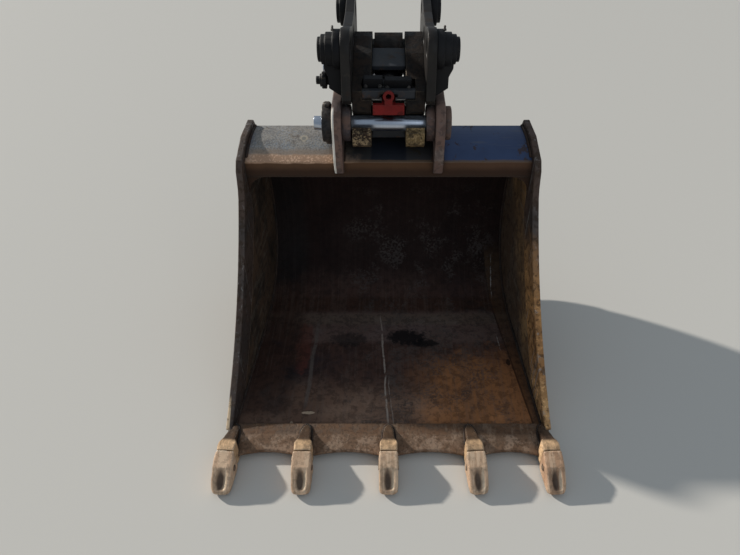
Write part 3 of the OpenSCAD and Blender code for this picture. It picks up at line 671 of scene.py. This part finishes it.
def coupler_jaw():
    """Jaw blocks: near black above, rubbed to a dull yellow-brown on the lips under the front pin."""
    f = Finish("Coupler jaw", 0.004, 3.0, 0.03)
    clouds = f.patches(14.0, 0.42, 0.13)
    spots = f.patches(60.0, 0.36, 0.07)
    f.base((0.006, 0.005, 0.005), (0.022, 0.018, 0.014), clouds["Clouds"], (0.5, 0.6), 0.0)
    lips = f.times(f.zone("Y", -1.0, 0.175, 0.02, 0.02), f.zone("Z", 0.5, 0.815, 0.02, 0.02))
    f.over(lips, (0.052, 0.032, 0.02), 0.6, 0.85, metal=0.15)
    f.over(clouds["Patches"], (0.03, 0.017, 0.011), 0.85, 0.6)
    f.over((lips, f.specks(190.0, 0.34)), (0.4, 0.29, 0.165), 0.5, 0.7, metal=0.2)
    f.over((lips, f.zone("X", 0.0, 1.0, 0.01, 0.0)), (0.28, 0.19, 0.08), 0.6, 0.5, metal=0.1)
    f.over(spots["Patches"], (0.006, 0.005, 0.005), 0.7, 0.7)
    f.over(f.edges["Wear"], (0.2, 0.16, 0.11), 0.4, 0.8, metal=0.5)
    # Dirt and painted shade in the corners
    f.over(f.edges["Corners"], (0.005, 0.004, 0.004), 0.8, 0.6)
    return f.done((clouds["Grain"], 0.5), (spots["Patches"], -0.4), gloss=0.2)


WEAR_AND_LIGHT_LAYERS = ("along", "hollow", "rim")


def casting(name, dark, light, block):
    """Cast steel polished by earth; layers written on the mesh give its polished length, painted shade in its
    hollow and a painted highlight on the hollow's rim.
    """
    f = Finish(name, 0.006, 4.5, 0.03)
    rust = f.patches(15.0, 0.42, 0.16)
    spots = f.patches(70.0, 0.36, 0.07)
    marks = f.marks((90.0, 9.0, 9.0), 0.46)
    along, hollow, rim = (f.add("Attribute", attribute_name=one).outputs["Fac"] for one in WEAR_AND_LIGHT_LAYERS)
    f.base(dark, light, rust["Clouds"], (0.55, 0.4), 0.1)
    # Painted shade on the right-hand tooth and adapter
    f.zones((((("X", 0.44, 0.8, 0.01, 0.0),), scaled(dark, 0.85, 0.62, 0.52), 0.45),))
    # The adapter's polished front block, its colour lightened with painted sunlight as well
    f.over(f.span(along, 0.62, 0.74), block, 0.6, 0.92)
    f.over(rust["Patches"], scaled(dark, 1.1, 0.8, 0.6), 0.8, 0.35)
    f.over(marks["Marks"], scaled(light, 1.3), 0.36, 0.35, metal=0.25)
    f.over(spots["Patches"], scaled(dark, 0.35), 0.8, 0.3)
    f.over(f.edges["Wear"], (1.0, 0.86, 0.68), 0.34, 0.9, metal=0.2)
    # Painted shade in the tooth's hollow, reaching further to its left
    f.over(hollow, (0.05, 0.03, 0.022), 0.55, 0.88)
    # Painted highlight on the hollow's right rim
    f.over(rim, (0.9, 0.72, 0.52), 0.32, 0.8, metal=0.25)
    # Dirt and painted shade in the corners
    f.over(f.edges["Corners"], scaled(dark, 0.3), 0.85, 0.6)
    return f.done((rust["Grain"], 0.7), (spots["Patches"], -0.45), (marks["Grooves"], 0.35))


def build_finishes():
    """All the finishes by material slot."""
    for build in (build_worn_edges, build_rust_patches, build_speckle, build_scrape_marks, build_settled_dust,
                  build_scour_line, build_zone, build_floor_spot, build_outer_side):
        build()
    right_side = ("X", 0.1, 2.0, 0.05, 0.0)
    return {
        "shell_steel": shell_steel(),
        "edge_steel": worn_plate(
            "Cutting edge", (0.13, 0.078, 0.048), (0.29, 0.19, 0.126), (0.135, 0.066, 0.032),
            (0.42, 0.3, 0.21), (26.0, 9.0, 9.0), (0.42, 0.4), 0.3, (0.45, 0.33, 0.23),
            dust=0.25, dust_colour=(0.22, 0.155, 0.105), scale=22.0,
            # Paler at the front with wear and painted sunlight; the darker rear strip is painted shade
            zones=(((("Y", -0.6, -0.45, 0.02, 0.03),), (0.47, 0.32, 0.22), 0.6),
                   ((("Y", -0.44, -0.3, 0.014, 0.02),), (0.096, 0.06, 0.041), 0.85))),
        "beam_paint": beam_paint(),
        "side_paint": worn_plate(
            "Side plate", (0.034, 0.024, 0.018), (0.105, 0.075, 0.054), (0.11, 0.062, 0.034),
            (0.2, 0.17, 0.135), (22.0, 6.0, 40.0), (0.42, 0.36), 0.45, (0.12, 0.095, 0.08), dust=0.1,
            zones=(((right_side,), (0.23, 0.16, 0.112), 0.55),
                   ((right_side, ("Mouth", -2.0, -0.24, 0.14, 0.12)), (0.52, 0.3, 0.125), 0.75)),
            top_zones=(((right_side, ("Mouth", -2.0, -0.37, 0.08, 0.16)), (0.42, 0.225, 0.085), 0.4),)),
        "bar_steel": side_bar(),
        "wear_steel": worn_plate(
            "Wear plate", (0.055, 0.038, 0.03), (0.115, 0.084, 0.064), (0.09, 0.045, 0.024),
            (0.22, 0.19, 0.17), (60.0, 4.0, 6.0), (0.4, 0.48), edge_colour=(0.24, 0.2, 0.17)),
        "ear_steel": worn_plate(
            "Ear plate", (0.095, 0.066, 0.063), (0.24, 0.185, 0.172), (0.17, 0.095, 0.068),
            (0.28, 0.235, 0.21), (20.0, 20.0, 20.0), (0.42, 0.3), 0.5, (0.72, 0.62, 0.52), 4.0, dust=0.3,
            zones=(((("X", -0.143, 0.143, 0.001, 0.0),), (0.052, 0.047, 0.054), 0.85),
                   ((("X", 0.1765, 0.5, 0.001, 0.0),), (0.075, 0.066, 0.066), 0.7)),
            # Painted highlight: the sunlit left face and edge of the left ear, nearly white
            top_zones=(((("X", -0.4, -0.1685, 0.0012, 0.002), ("Y", -1.0, 0.146, 0.016, 0.022)),
                        (0.88, 0.83, 0.75), 0.9),)),
        "collar_steel": worn_plate(
            "Pin collar", (0.014, 0.014, 0.016), (0.034, 0.032, 0.033), (0.04, 0.024, 0.017),
            (0.1, 0.095, 0.09), (14.0, 30.0, 30.0), (0.3, 0.3), 0.4, (0.14, 0.125, 0.11),
            dust=0.2, scale=16.0),
        "bolt_steel": worn_plate(
            "Collar bolt", (0.05, 0.048, 0.046), (0.12, 0.115, 0.11), (0.07, 0.036, 0.02), (0.25, 0.24, 0.23),
            (30.0, 30.0, 30.0), (0.3, 0.3), 0.5, (0.26, 0.24, 0.22), metal=0.6, dust=0.2, scale=30.0),
        "pin_steel": bright_pin("Bucket pin", (0.48, 0.53, 0.62), 0.08),
        "adapter_steel": casting(
            "Tooth adapter", (0.058, 0.034, 0.021), (0.13, 0.082, 0.05), (0.95, 0.63, 0.36)),
        "tooth_steel": casting("Tooth", (0.44, 0.3, 0.196), (0.79, 0.585, 0.41), (0.36, 0.24, 0.155)),
        "mud": worn_plate(
            "Dried mud", (0.012, 0.009, 0.007), (0.03, 0.022, 0.016), (0.02, 0.014, 0.01),
            (0.04, 0.03, 0.022), (20.0, 20.0, 20.0), (0.4, 0.2), 0.3, (0.035, 0.027, 0.02),
            metal=0.0, dust=0.1, scale=26.0, pits=1.6),
        "weld_steel": worn_plate(
            "Weld seam", (0.02, 0.015, 0.014), (0.05, 0.038, 0.033), (0.06, 0.03, 0.018), (0.13, 0.11, 0.095),
            (20.0, 20.0, 20.0), (0.4, 0.3), 0.4, (0.15, 0.12, 0.1), dust=0.2, scale=16.0),
        "tooth_pin_steel": worn_plate(
            "Tooth pin", (0.14, 0.095, 0.062), (0.3, 0.215, 0.15), (0.17, 0.09, 0.05), (0.4, 0.31, 0.23),
            (30.0, 30.0, 30.0), (0.4, 0.3), 0.5, scale=30.0),
        "coupler_paint": coat(
            "Coupler paint", (0.008, 0.0075, 0.008), (0.028, 0.0245, 0.022), (0.045, 0.038, 0.032),
            (0.12, 0.105, 0.09), dust=0.1, rust=(0.036, 0.022, 0.015),
            zones=(((("X", -0.5, -0.141, 0.002, 0.0),), (0.0015, 0.0022, 0.0042), 0.8),
                   ((("X", 0.141, 0.5, 0.002, 0.0),), (0.005, 0.006, 0.0085), 0.65),
                   ((("X", -0.095, 0.095, 0.003, 0.0),), (0.001, 0.0012, 0.003), 0.85))),
        "jaw_steel": coupler_jaw(),
        "cross_paint": coat(
            "Coupler cross bar", (0.016, 0.018, 0.022), (0.042, 0.046, 0.054), (0.04, 0.03, 0.024),
            (0.16, 0.14, 0.125), dust=0.2),
        "fitting_black": coat(
            "Hose fitting", (0.0022, 0.0024, 0.0034), (0.007, 0.0068, 0.0075), (0.05, 0.04, 0.026),
            (0.09, 0.08, 0.07), scale=26.0, dust=0.05, rust=(0.018, 0.013, 0.01)),
        "link_pin_steel": bright_pin("Coupler pin", (0.3, 0.3, 0.3), 0.45),
        "hook_steel": worn_plate(
            "Coupler hook", (0.016, 0.013, 0.012), (0.042, 0.034, 0.028), (0.055, 0.03, 0.018),
            (0.15, 0.13, 0.11), (24.0, 24.0, 24.0), (0.38, 0.35), 0.5, (0.18, 0.155, 0.13),
            dust=0.2, scale=14.0),
        "barrel_paint": coat(
            "Lock cylinder", (0.008, 0.008, 0.009), (0.022, 0.022, 0.024), (0.06, 0.055, 0.05),
            (0.15, 0.14, 0.13), scale=20.0, dust=0.2),
        "rod_chrome": bright_pin("Cylinder rod", (0.8, 0.8, 0.82), 0.1),
        "lock_red": coat(
            "Front lock", (0.13, 0.0058, 0.0058), (0.268, 0.014, 0.013), (0.035, 0.018, 0.015),
            (0.22, 0.06, 0.045), scale=24.0, chip_cover=0.3, dust=0.08, rust=(0.045, 0.01, 0.008)),
    }


def paint_nodes(finishes):
    """Every CAD node takes the finish of its own material slot."""
    for row in frame["record"]["subparts"]:
        node = frame["nodes"][row["node"]]
        finish = finishes[row["material_slot"]]
        if node.material_slots:
            for one in node.material_slots:
                one.material = finish
        else:
            node.data.materials.append(finish)


# Modelled pieces

def clear_selection():
    if bpy.context.object and bpy.context.object.mode != "OBJECT":
        bpy.ops.object.mode_set(mode="OBJECT")
    bpy.ops.object.select_all(action="DESELECT")


def pick(piece):
    """Only this piece is selected, and it is the active one."""
    clear_selection()
    piece.select_set(True)
    bpy.context.view_layer.objects.active = piece


def edited(piece, *steps):
    """The whole mesh goes through operators of edit mode, each with its settings."""
    bpy.ops.object.mode_set(mode="EDIT")
    bpy.ops.mesh.select_all(action="SELECT")
    for work, settings in steps:
        work(**settings)
    bpy.ops.object.mode_set(mode="OBJECT")
    return piece


def started(add, **settings):
    """The object that an operator adds."""
    clear_selection()
    add(**settings)
    return bpy.context.object


def modify(piece, name, kind, **settings):
    filled(piece.modifiers.new(name, kind), **settings)


def apply_all(piece):
    pick(piece)
    for one in list(piece.modifiers):
        bpy.ops.object.modifier_apply(modifier=one.name)


def settle(piece, name, finish, angle=40):
    """Names a finished piece, puts its origin at the frame's origin and shades it."""
    pick(piece)
    bpy.ops.object.transform_apply(location=True, rotation=True, scale=True)
    bpy.ops.object.shade_smooth_by_angle(angle=radians(angle))
    piece.name = name
    piece.data.name = name
    piece.data.materials.clear()
    piece.data.materials.append(finish)
    piece.select_set(False)
    return piece


def joined(pieces):
    """Several modelled objects become one."""
    pick(pieces[0])
    for one in pieces:
        one.select_set(True)
    bpy.ops.object.join()
    return bpy.context.object


def placed_copy(model, name, place, turn, finish):
    """A copy with its own mesh, turned by degrees and moved to its place."""
    copy = linked(model.copy())
    copy.data = model.data.copy()
    copy.rotation_euler = tuple(radians(v) for v in turn)
    copy.location = place
    settle(copy, name, finish)
    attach(copy, MAIN)


# Weld seams

# Curves of the drawing's side view, in mm: the shell's heel and back, and the beam's crown
HEEL_CENTRE, HEEL_RADIUS = (190, 336), 320
BACK_CENTRE, BACK_RADIUS = (64.43, 369.65), 450
CROWN_CENTRE, CROWN_RADIUS = (380, 449), 272
SIDE_LEAN = tan(radians(2.75))
HALF_MOUTH = 520  # mm from the middle to a bar's outer face at the tooth row
TOOTH_ROW = -420  # Y of the row in the drawing
TOOTH_PLACES = ((-490, -2.5), (-260, 0), (0, 0), (260, 3.5), (490, 2.5))  # mm across, degrees of splay
ADAPTER_TAIL = ((-22, 18), (-17.5, 64), (-10, 84), (0, 90), (10, 84), (17.5, 64), (22, 18))  # behind the row
EAR_FACES = (144, 176)  # mm from the middle
WALL = 18  # mm from a curve's outer radius to the seam inside it


def weld_run(points, radius):
    """One seam of weld: a flattened drop, repeated along a path and bent to it."""
    data = bpy.data.curves.new("Seam path", "CURVE")
    data.dimensions = "3D"
    line = data.splines.new("POLY")
    line.points.add(len(points) - 1)
    for point, place in zip(line.points, points):
        point.co = (*place, 1)
    path = linked(bpy.data.objects.new("Seam path", data))
    drop = edited(started(bpy.ops.mesh.primitive_uv_sphere_add, segments=8, ring_count=6, radius=radius),
                  (bpy.ops.transform.resize, {"value": (0.85, 1.0, 0.8)}),
                  (bpy.ops.transform.vertex_random, {"offset": radius * 0.06, "seed": 3}))
    modify(drop, "Run", "ARRAY", fit_type="FIT_CURVE", curve=path, relative_offset_displace=(0.52, 0, 0))
    modify(drop, "Bend", "CURVE", object=path, deform_axis="POS_X")
    apply_all(drop)
    bpy.data.objects.remove(path)
    bpy.data.curves.remove(data)
    return drop


def weld(name, runs, radius, finish):
    """Seams of one part of the bucket as a single piece."""
    piece = settle(joined([weld_run(points, radius) for points in runs]), name, finish, 60)
    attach(piece, MAIN)


def on_arc(centre, radius, angle):
    """A point of the side view, angle from straight down towards the back, in degrees."""
    a = radians(angle)
    return centre[0] + radius * sin(a), centre[1] - radius * cos(a)


def steps(first, last, count):
    return [first + (last - first) * i / count for i in range(count + 1)]


def arc(centre, radius, first, last, count):
    return [on_arc(centre, radius, a) for a in steps(first, last, count)]


def side_x(y, depth):
    """Half width at a place along the bucket, some way inside the bars' outer faces."""
    return HALF_MOUTH - depth - (y - TOOTH_ROW) * SIDE_LEAN


def along_beam():
    """The top of the beam in the side view, from its front lip over the crown to the back."""
    crown = [(CROWN_CENTRE[0] - CROWN_RADIUS * sin(radians(a)),
              CROWN_CENTRE[1] + CROWN_RADIUS * cos(radians(a))) for a in steps(32, 0, 10)]
    return crown + [(405, 721)]


def with_mirror(points):
    """A seam and its twin on the other side."""
    return [points, [Vector((-p.x, p.y, p.z)) for p in points]]


def add_welds(finish):
    behind_ears = [(428, 636)] + arc(BACK_CENTRE, BACK_RADIUS + 1, 124, 100, 8)
    ears = []
    for x in EAR_FACES:
        ears += with_mirror([at(x, y, z + 1) for y, z in along_beam()] +
                            [at(x, y, z) for y, z in behind_ears])
    weld("ear_welds", ears, 0.0055, finish)

    corner = [at(side_x(y, 25), y, z + 1) for y, z in along_beam()[1:]]
    inner = [(y, 33) for y in steps(-318, 190, 10)] + \
        arc(HEEL_CENTRE, HEEL_RADIUS - WALL, 6, 75, 12) + arc(BACK_CENTRE, BACK_RADIUS - WALL, 81, 122, 8)
    seam = [at(side_x(y, 24), y, z) for y, z in inner]
    weld("side_welds", with_mirror(corner) + with_mirror(seam), 0.006, finish)

    tails = []
    for x, turn in TOOTH_PLACES:
        c, n = cos(radians(turn)), sin(radians(turn))
        run = [at(x + c * a - n * b, TOOTH_ROW + n * a + c * b, 48) for a, b in ADAPTER_TAIL]
        if abs(x) > 400:
            run = [p for p in run if abs(p.x) < 0.493]
        tails.append(run)
    weld("adapter_welds", tails, 0.0045, finish)


# Mud, nipples and bolts

def add_mud(finish):
    """Mud that has dried on the plate behind the front pin, between the jaws."""
    mud = edited(started(bpy.ops.mesh.primitive_cube_add, size=1),
                 (bpy.ops.transform.resize, {"value": (0.103, 0.015, 0.021)}),
                 (bpy.ops.mesh.subdivide, {"number_cuts": 5}),
                 (bpy.ops.mesh.subdivide, {"number_cuts": 1}))
    lumps = filled(bpy.data.textures.new("Mud lumps", "CLOUDS"), noise_scale=0.02)
    modify(mud, "Settled", "SMOOTH", factor=0.5, iterations=4)
    modify(mud, "Lumps", "DISPLACE", texture=lumps, strength=0.005, mid_level=0.75)
    mud.location = at(0, 318, 837.5)
    apply_all(mud)
    settle(mud, "dried_mud", finish, 70)
    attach(mud, MAIN)


def turned_bar(sides, radius, height, middle, edge):
    """A short bar standing at a height, its edges broken."""
    return edited(started(bpy.ops.mesh.primitive_cylinder_add, vertices=sides, radius=radius, depth=height,
                          location=(0, 0, middle)),
                  (bpy.ops.mesh.bevel, {"offset": edge, "segments": 2}))


def grease_nipple():
    """A nipple pointing up: hexagon, neck and ball in one piece."""
    foot = turned_bar(6, 0.0055, 0.005, 0.0025, 0.0006)
    neck = turned_bar(20, 0.0032, 0.006, 0.008, 0.0004)
    ball = edited(started(bpy.ops.mesh.primitive_uv_sphere_add, segments=20, ring_count=12, radius=0.0036,
                          location=(0, 0, 0.0118)),
                  (bpy.ops.transform.resize, {"value": (1, 1, 0.85)}))
    return joined([foot, neck, ball])


def hex_bolt(across, height):
    """A bolt head with its washer, pointing up."""
    washer = turned_bar(32, across * 1.25, height * 0.25, height * 0.125, height * 0.05)
    head = turned_bar(6, across, height * 0.75, height * 0.62, height * 0.08)
    return joined([washer, head])


# Bores in the side view, and how far from their centres the nipples sit, in mm
STICK_BORE, LINK_BORE = (290, 1016), (655, 1027)
FRONT_PIN, REAR_PIN = (270, 794), (638, 833)
BOSS_TOP = 55.5
LINK_SEAT = 51.5 * sqrt(0.5)  # at 45 degrees, so that the link's nipples stay under the part's top
VALVE_BOLTS = ((-70, 908), (-26, 908), (-4, 904), (62, 904))  # across and up, on the boxes' front face
VALVE_FRONT = 279


def add_fittings(finish):
    """Grease nipples at the bores and bolts on the valve boxes."""
    nipple = grease_nipple()
    for sign, end in ((-1, "left"), (1, "right")):
        for name, x, (y, z), lean in (
                ("boss_nipple", 162, (STICK_BORE[0], STICK_BORE[1] + BOSS_TOP), 0),
                ("link_nipple", 150, (LINK_BORE[0] + LINK_SEAT, LINK_BORE[1] + LINK_SEAT), -45),
                ("front_pin_nipple", 131, (FRONT_PIN[0], FRONT_PIN[1] + BOSS_TOP), 0),
                ("rear_pin_nipple", 131, (REAR_PIN[0], REAR_PIN[1] + BOSS_TOP), 0)):
            placed_copy(nipple, f"{name}_{end}", at(sign * x, y, z), (lean, 0, 0), finish)
    bpy.data.objects.remove(nipple)

    bolt = hex_bolt(0.0055, 0.006)
    for i, (x, z) in enumerate(VALVE_BOLTS):
        placed_copy(bolt, f"valve_bolt_{i + 1}", at(x, VALVE_FRONT, z), (90, 0, 0), finish)
    bpy.data.objects.remove(bolt)


# Teeth and adapters

ADAPTER_REAR = 92  # mm from the tooth row back to the adapter's rear
POLISHED_LENGTH = 120
CAST_EDGES = {"tooth": 0.0045, "adapter": 0.0035}


def rounded_copy(node_name, width, finish, dents):
    """A cast copy of a CAD piece with rounded edges and uneven faces, in that piece's place."""
    node = frame["nodes"][node_name]
    copy = linked(node.copy())
    copy.data = node.data.copy()
    copy.modifiers.clear()
    pick(copy)
    bpy.ops.object.parent_clear(type="CLEAR_KEEP_TRANSFORM")
    edited(copy, (bpy.ops.mesh.remove_doubles, {"threshold": 0.00002}),
           (bpy.ops.mesh.dissolve_limited, {"angle_limit": radians(1.0)}))
    modify(copy, "Cast edges", "BEVEL", width=width, segments=3, limit_method="ANGLE",
           angle_limit=radians(24), use_clamp_overlap=False)
    modify(copy, "Grid", "REMESH", mode="VOXEL", voxel_size=0.0022)
    modify(copy, "Rubbed", "SMOOTH", factor=0.5, iterations=3)
    modify(copy, "Dents", "DISPLACE", texture=dents, strength=0.0016, mid_level=1.0)
    apply_all(copy)
    return settle(copy, node_name + "_cast", finish, 50)


def tooth_axes(point, x, turn):
    """Place of a point in a tooth's own view: across, and along from the rear of its adapter, in mm."""
    a = radians(turn)
    dx, dy = point.x * 1000 - x, point.y * 1000 - DRAWING_SHIFT - TOOTH_ROW
    return dx * cos(a) + dy * sin(a), ADAPTER_REAR - (dy * cos(a) - dx * sin(a))


def press_hollow(piece, x, turn):
    """Deepens the spoon near the tip with a soft push, as years of digging did."""
    pick(piece)
    for part in (*piece.data.polygons, *piece.data.edges):
        part.select = False
    for v in piece.data.vertices:
        across, along = tooth_axes(v.co, x, turn)
        v.select = abs(across - 1) < 5 and 178 < along < 210 and v.normal.z > 0.3 and v.co.z > 0.012
    bpy.ops.object.mode_set(mode="EDIT")
    bpy.ops.mesh.select_mode(type="VERT")
    bpy.ops.transform.translate(value=(0, 0, -0.006), use_proportional_edit=True,
                                proportional_edit_falloff="SMOOTH", proportional_size=0.015)
    bpy.ops.object.mode_set(mode="OBJECT")


def held(value):
    return min(1.0, max(0.0, value))


def mark_wear_and_light(piece, x, turn, tooth):
    """Writes where the casting is polished along its length, and on a tooth the painted shade in its hollow
    and the painted highlight on the hollow's rim.
    """
    for layer in WEAR_AND_LIGHT_LAYERS:
        piece.data.attributes.new(layer, "FLOAT", "POINT")
    length, hollow, rim = (piece.data.attributes[layer].data for layer in WEAR_AND_LIGHT_LAYERS)
    for v in piece.data.vertices:
        across, along = tooth_axes(v.co, x, turn)
        if not tooth:
            length[v.index].value = held(along / POLISHED_LENGTH)
        elif v.normal.z > 0.0:
            # Painted shade in the hollow, set off to the left, and a painted highlight on its right rim
            pit = hypot((across + 2.5) / 11.0, (along - 196) / 27)
            lit = hypot((across - 13.0) / 4.5, (along - 199) / 28)
            hollow[v.index].value = held((1.15 - pit) / 0.5)
            rim[v.index].value = held((1.1 - lit) / 0.5)


def add_castings(finishes):
    """Teeth and adapters as worn castings over the exact solids."""
    dents = filled(bpy.data.textures.new("Cast unevenness", "CLOUDS"), noise_scale=0.022, noise_depth=2)
    for i, (x, turn) in enumerate(TOOTH_PLACES, 1):
        for kind, width in CAST_EDGES.items():
            node = f"{kind}_{i}"
            cast = rounded_copy(node, width, finishes[kind + "_steel"], dents)
            if kind == "tooth":
                press_hollow(cast, x, turn)
            mark_wear_and_light(cast, x, turn, kind == "tooth")
            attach(cast, MAIN)
            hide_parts(node)


# Edge radii of the CAD nodes, in metres
ROUNDING = {
    "ear_left": 0.004, "ear_right": 0.004, "ear_bosses": 0.003, "pin_collars": 0.003,
    "cheek_left": 0.003, "cheek_right": 0.003, "cheek_bosses": 0.0025,
    "jaw_left": 0.0035, "jaw_right": 0.0035, "side_bar_left": 0.0035, "side_bar_right": 0.0035,
    "top_beam": 0.004, "cutting_edge": 0.003, "cross_members": 0.0015, "valve_block": 0.0025,
    "hose_fittings": 0.0012, "hook": 0.003, "front_lock": 0.0018, "wear_strips": 0.003,
    "side_wear_plates": 0.002, "heel_guards": 0.002, "lift_eye": 0.003, "barrel": 0.0015,
    "collar_bolts": 0.0008, "front_pin": 0.0012, "rear_pin": 0.0012, "tooth_pins": 0.001,
    "side_plate_left": 0.0015, "side_plate_right": 0.0015,
}


def round_edges():
    """Sharp edges of the solids get the small radius that sawn, burnt and worn plate has."""
    for name, width in ROUNDING.items():
        node = frame["nodes"][name]
        modify(node, "Close seams", "WELD", merge_threshold=0.00001)
        modify(node, "Whole flats", "DECIMATE", decimate_type="DISSOLVE", angle_limit=radians(0.5))
        modify(node, "Edge radius", "BEVEL", width=width, segments=2, limit_method="ANGLE",
               angle_limit=radians(35), use_clamp_overlap=not name.startswith("ear_"), harden_normals=True)


add_camera()
add_studio()
finishes = build_finishes()
paint_nodes(finishes)
round_edges()
add_welds(finishes["weld_steel"])
add_castings(finishes)
add_fittings(finishes["bolt_steel"])
add_mud(finishes["mud"])
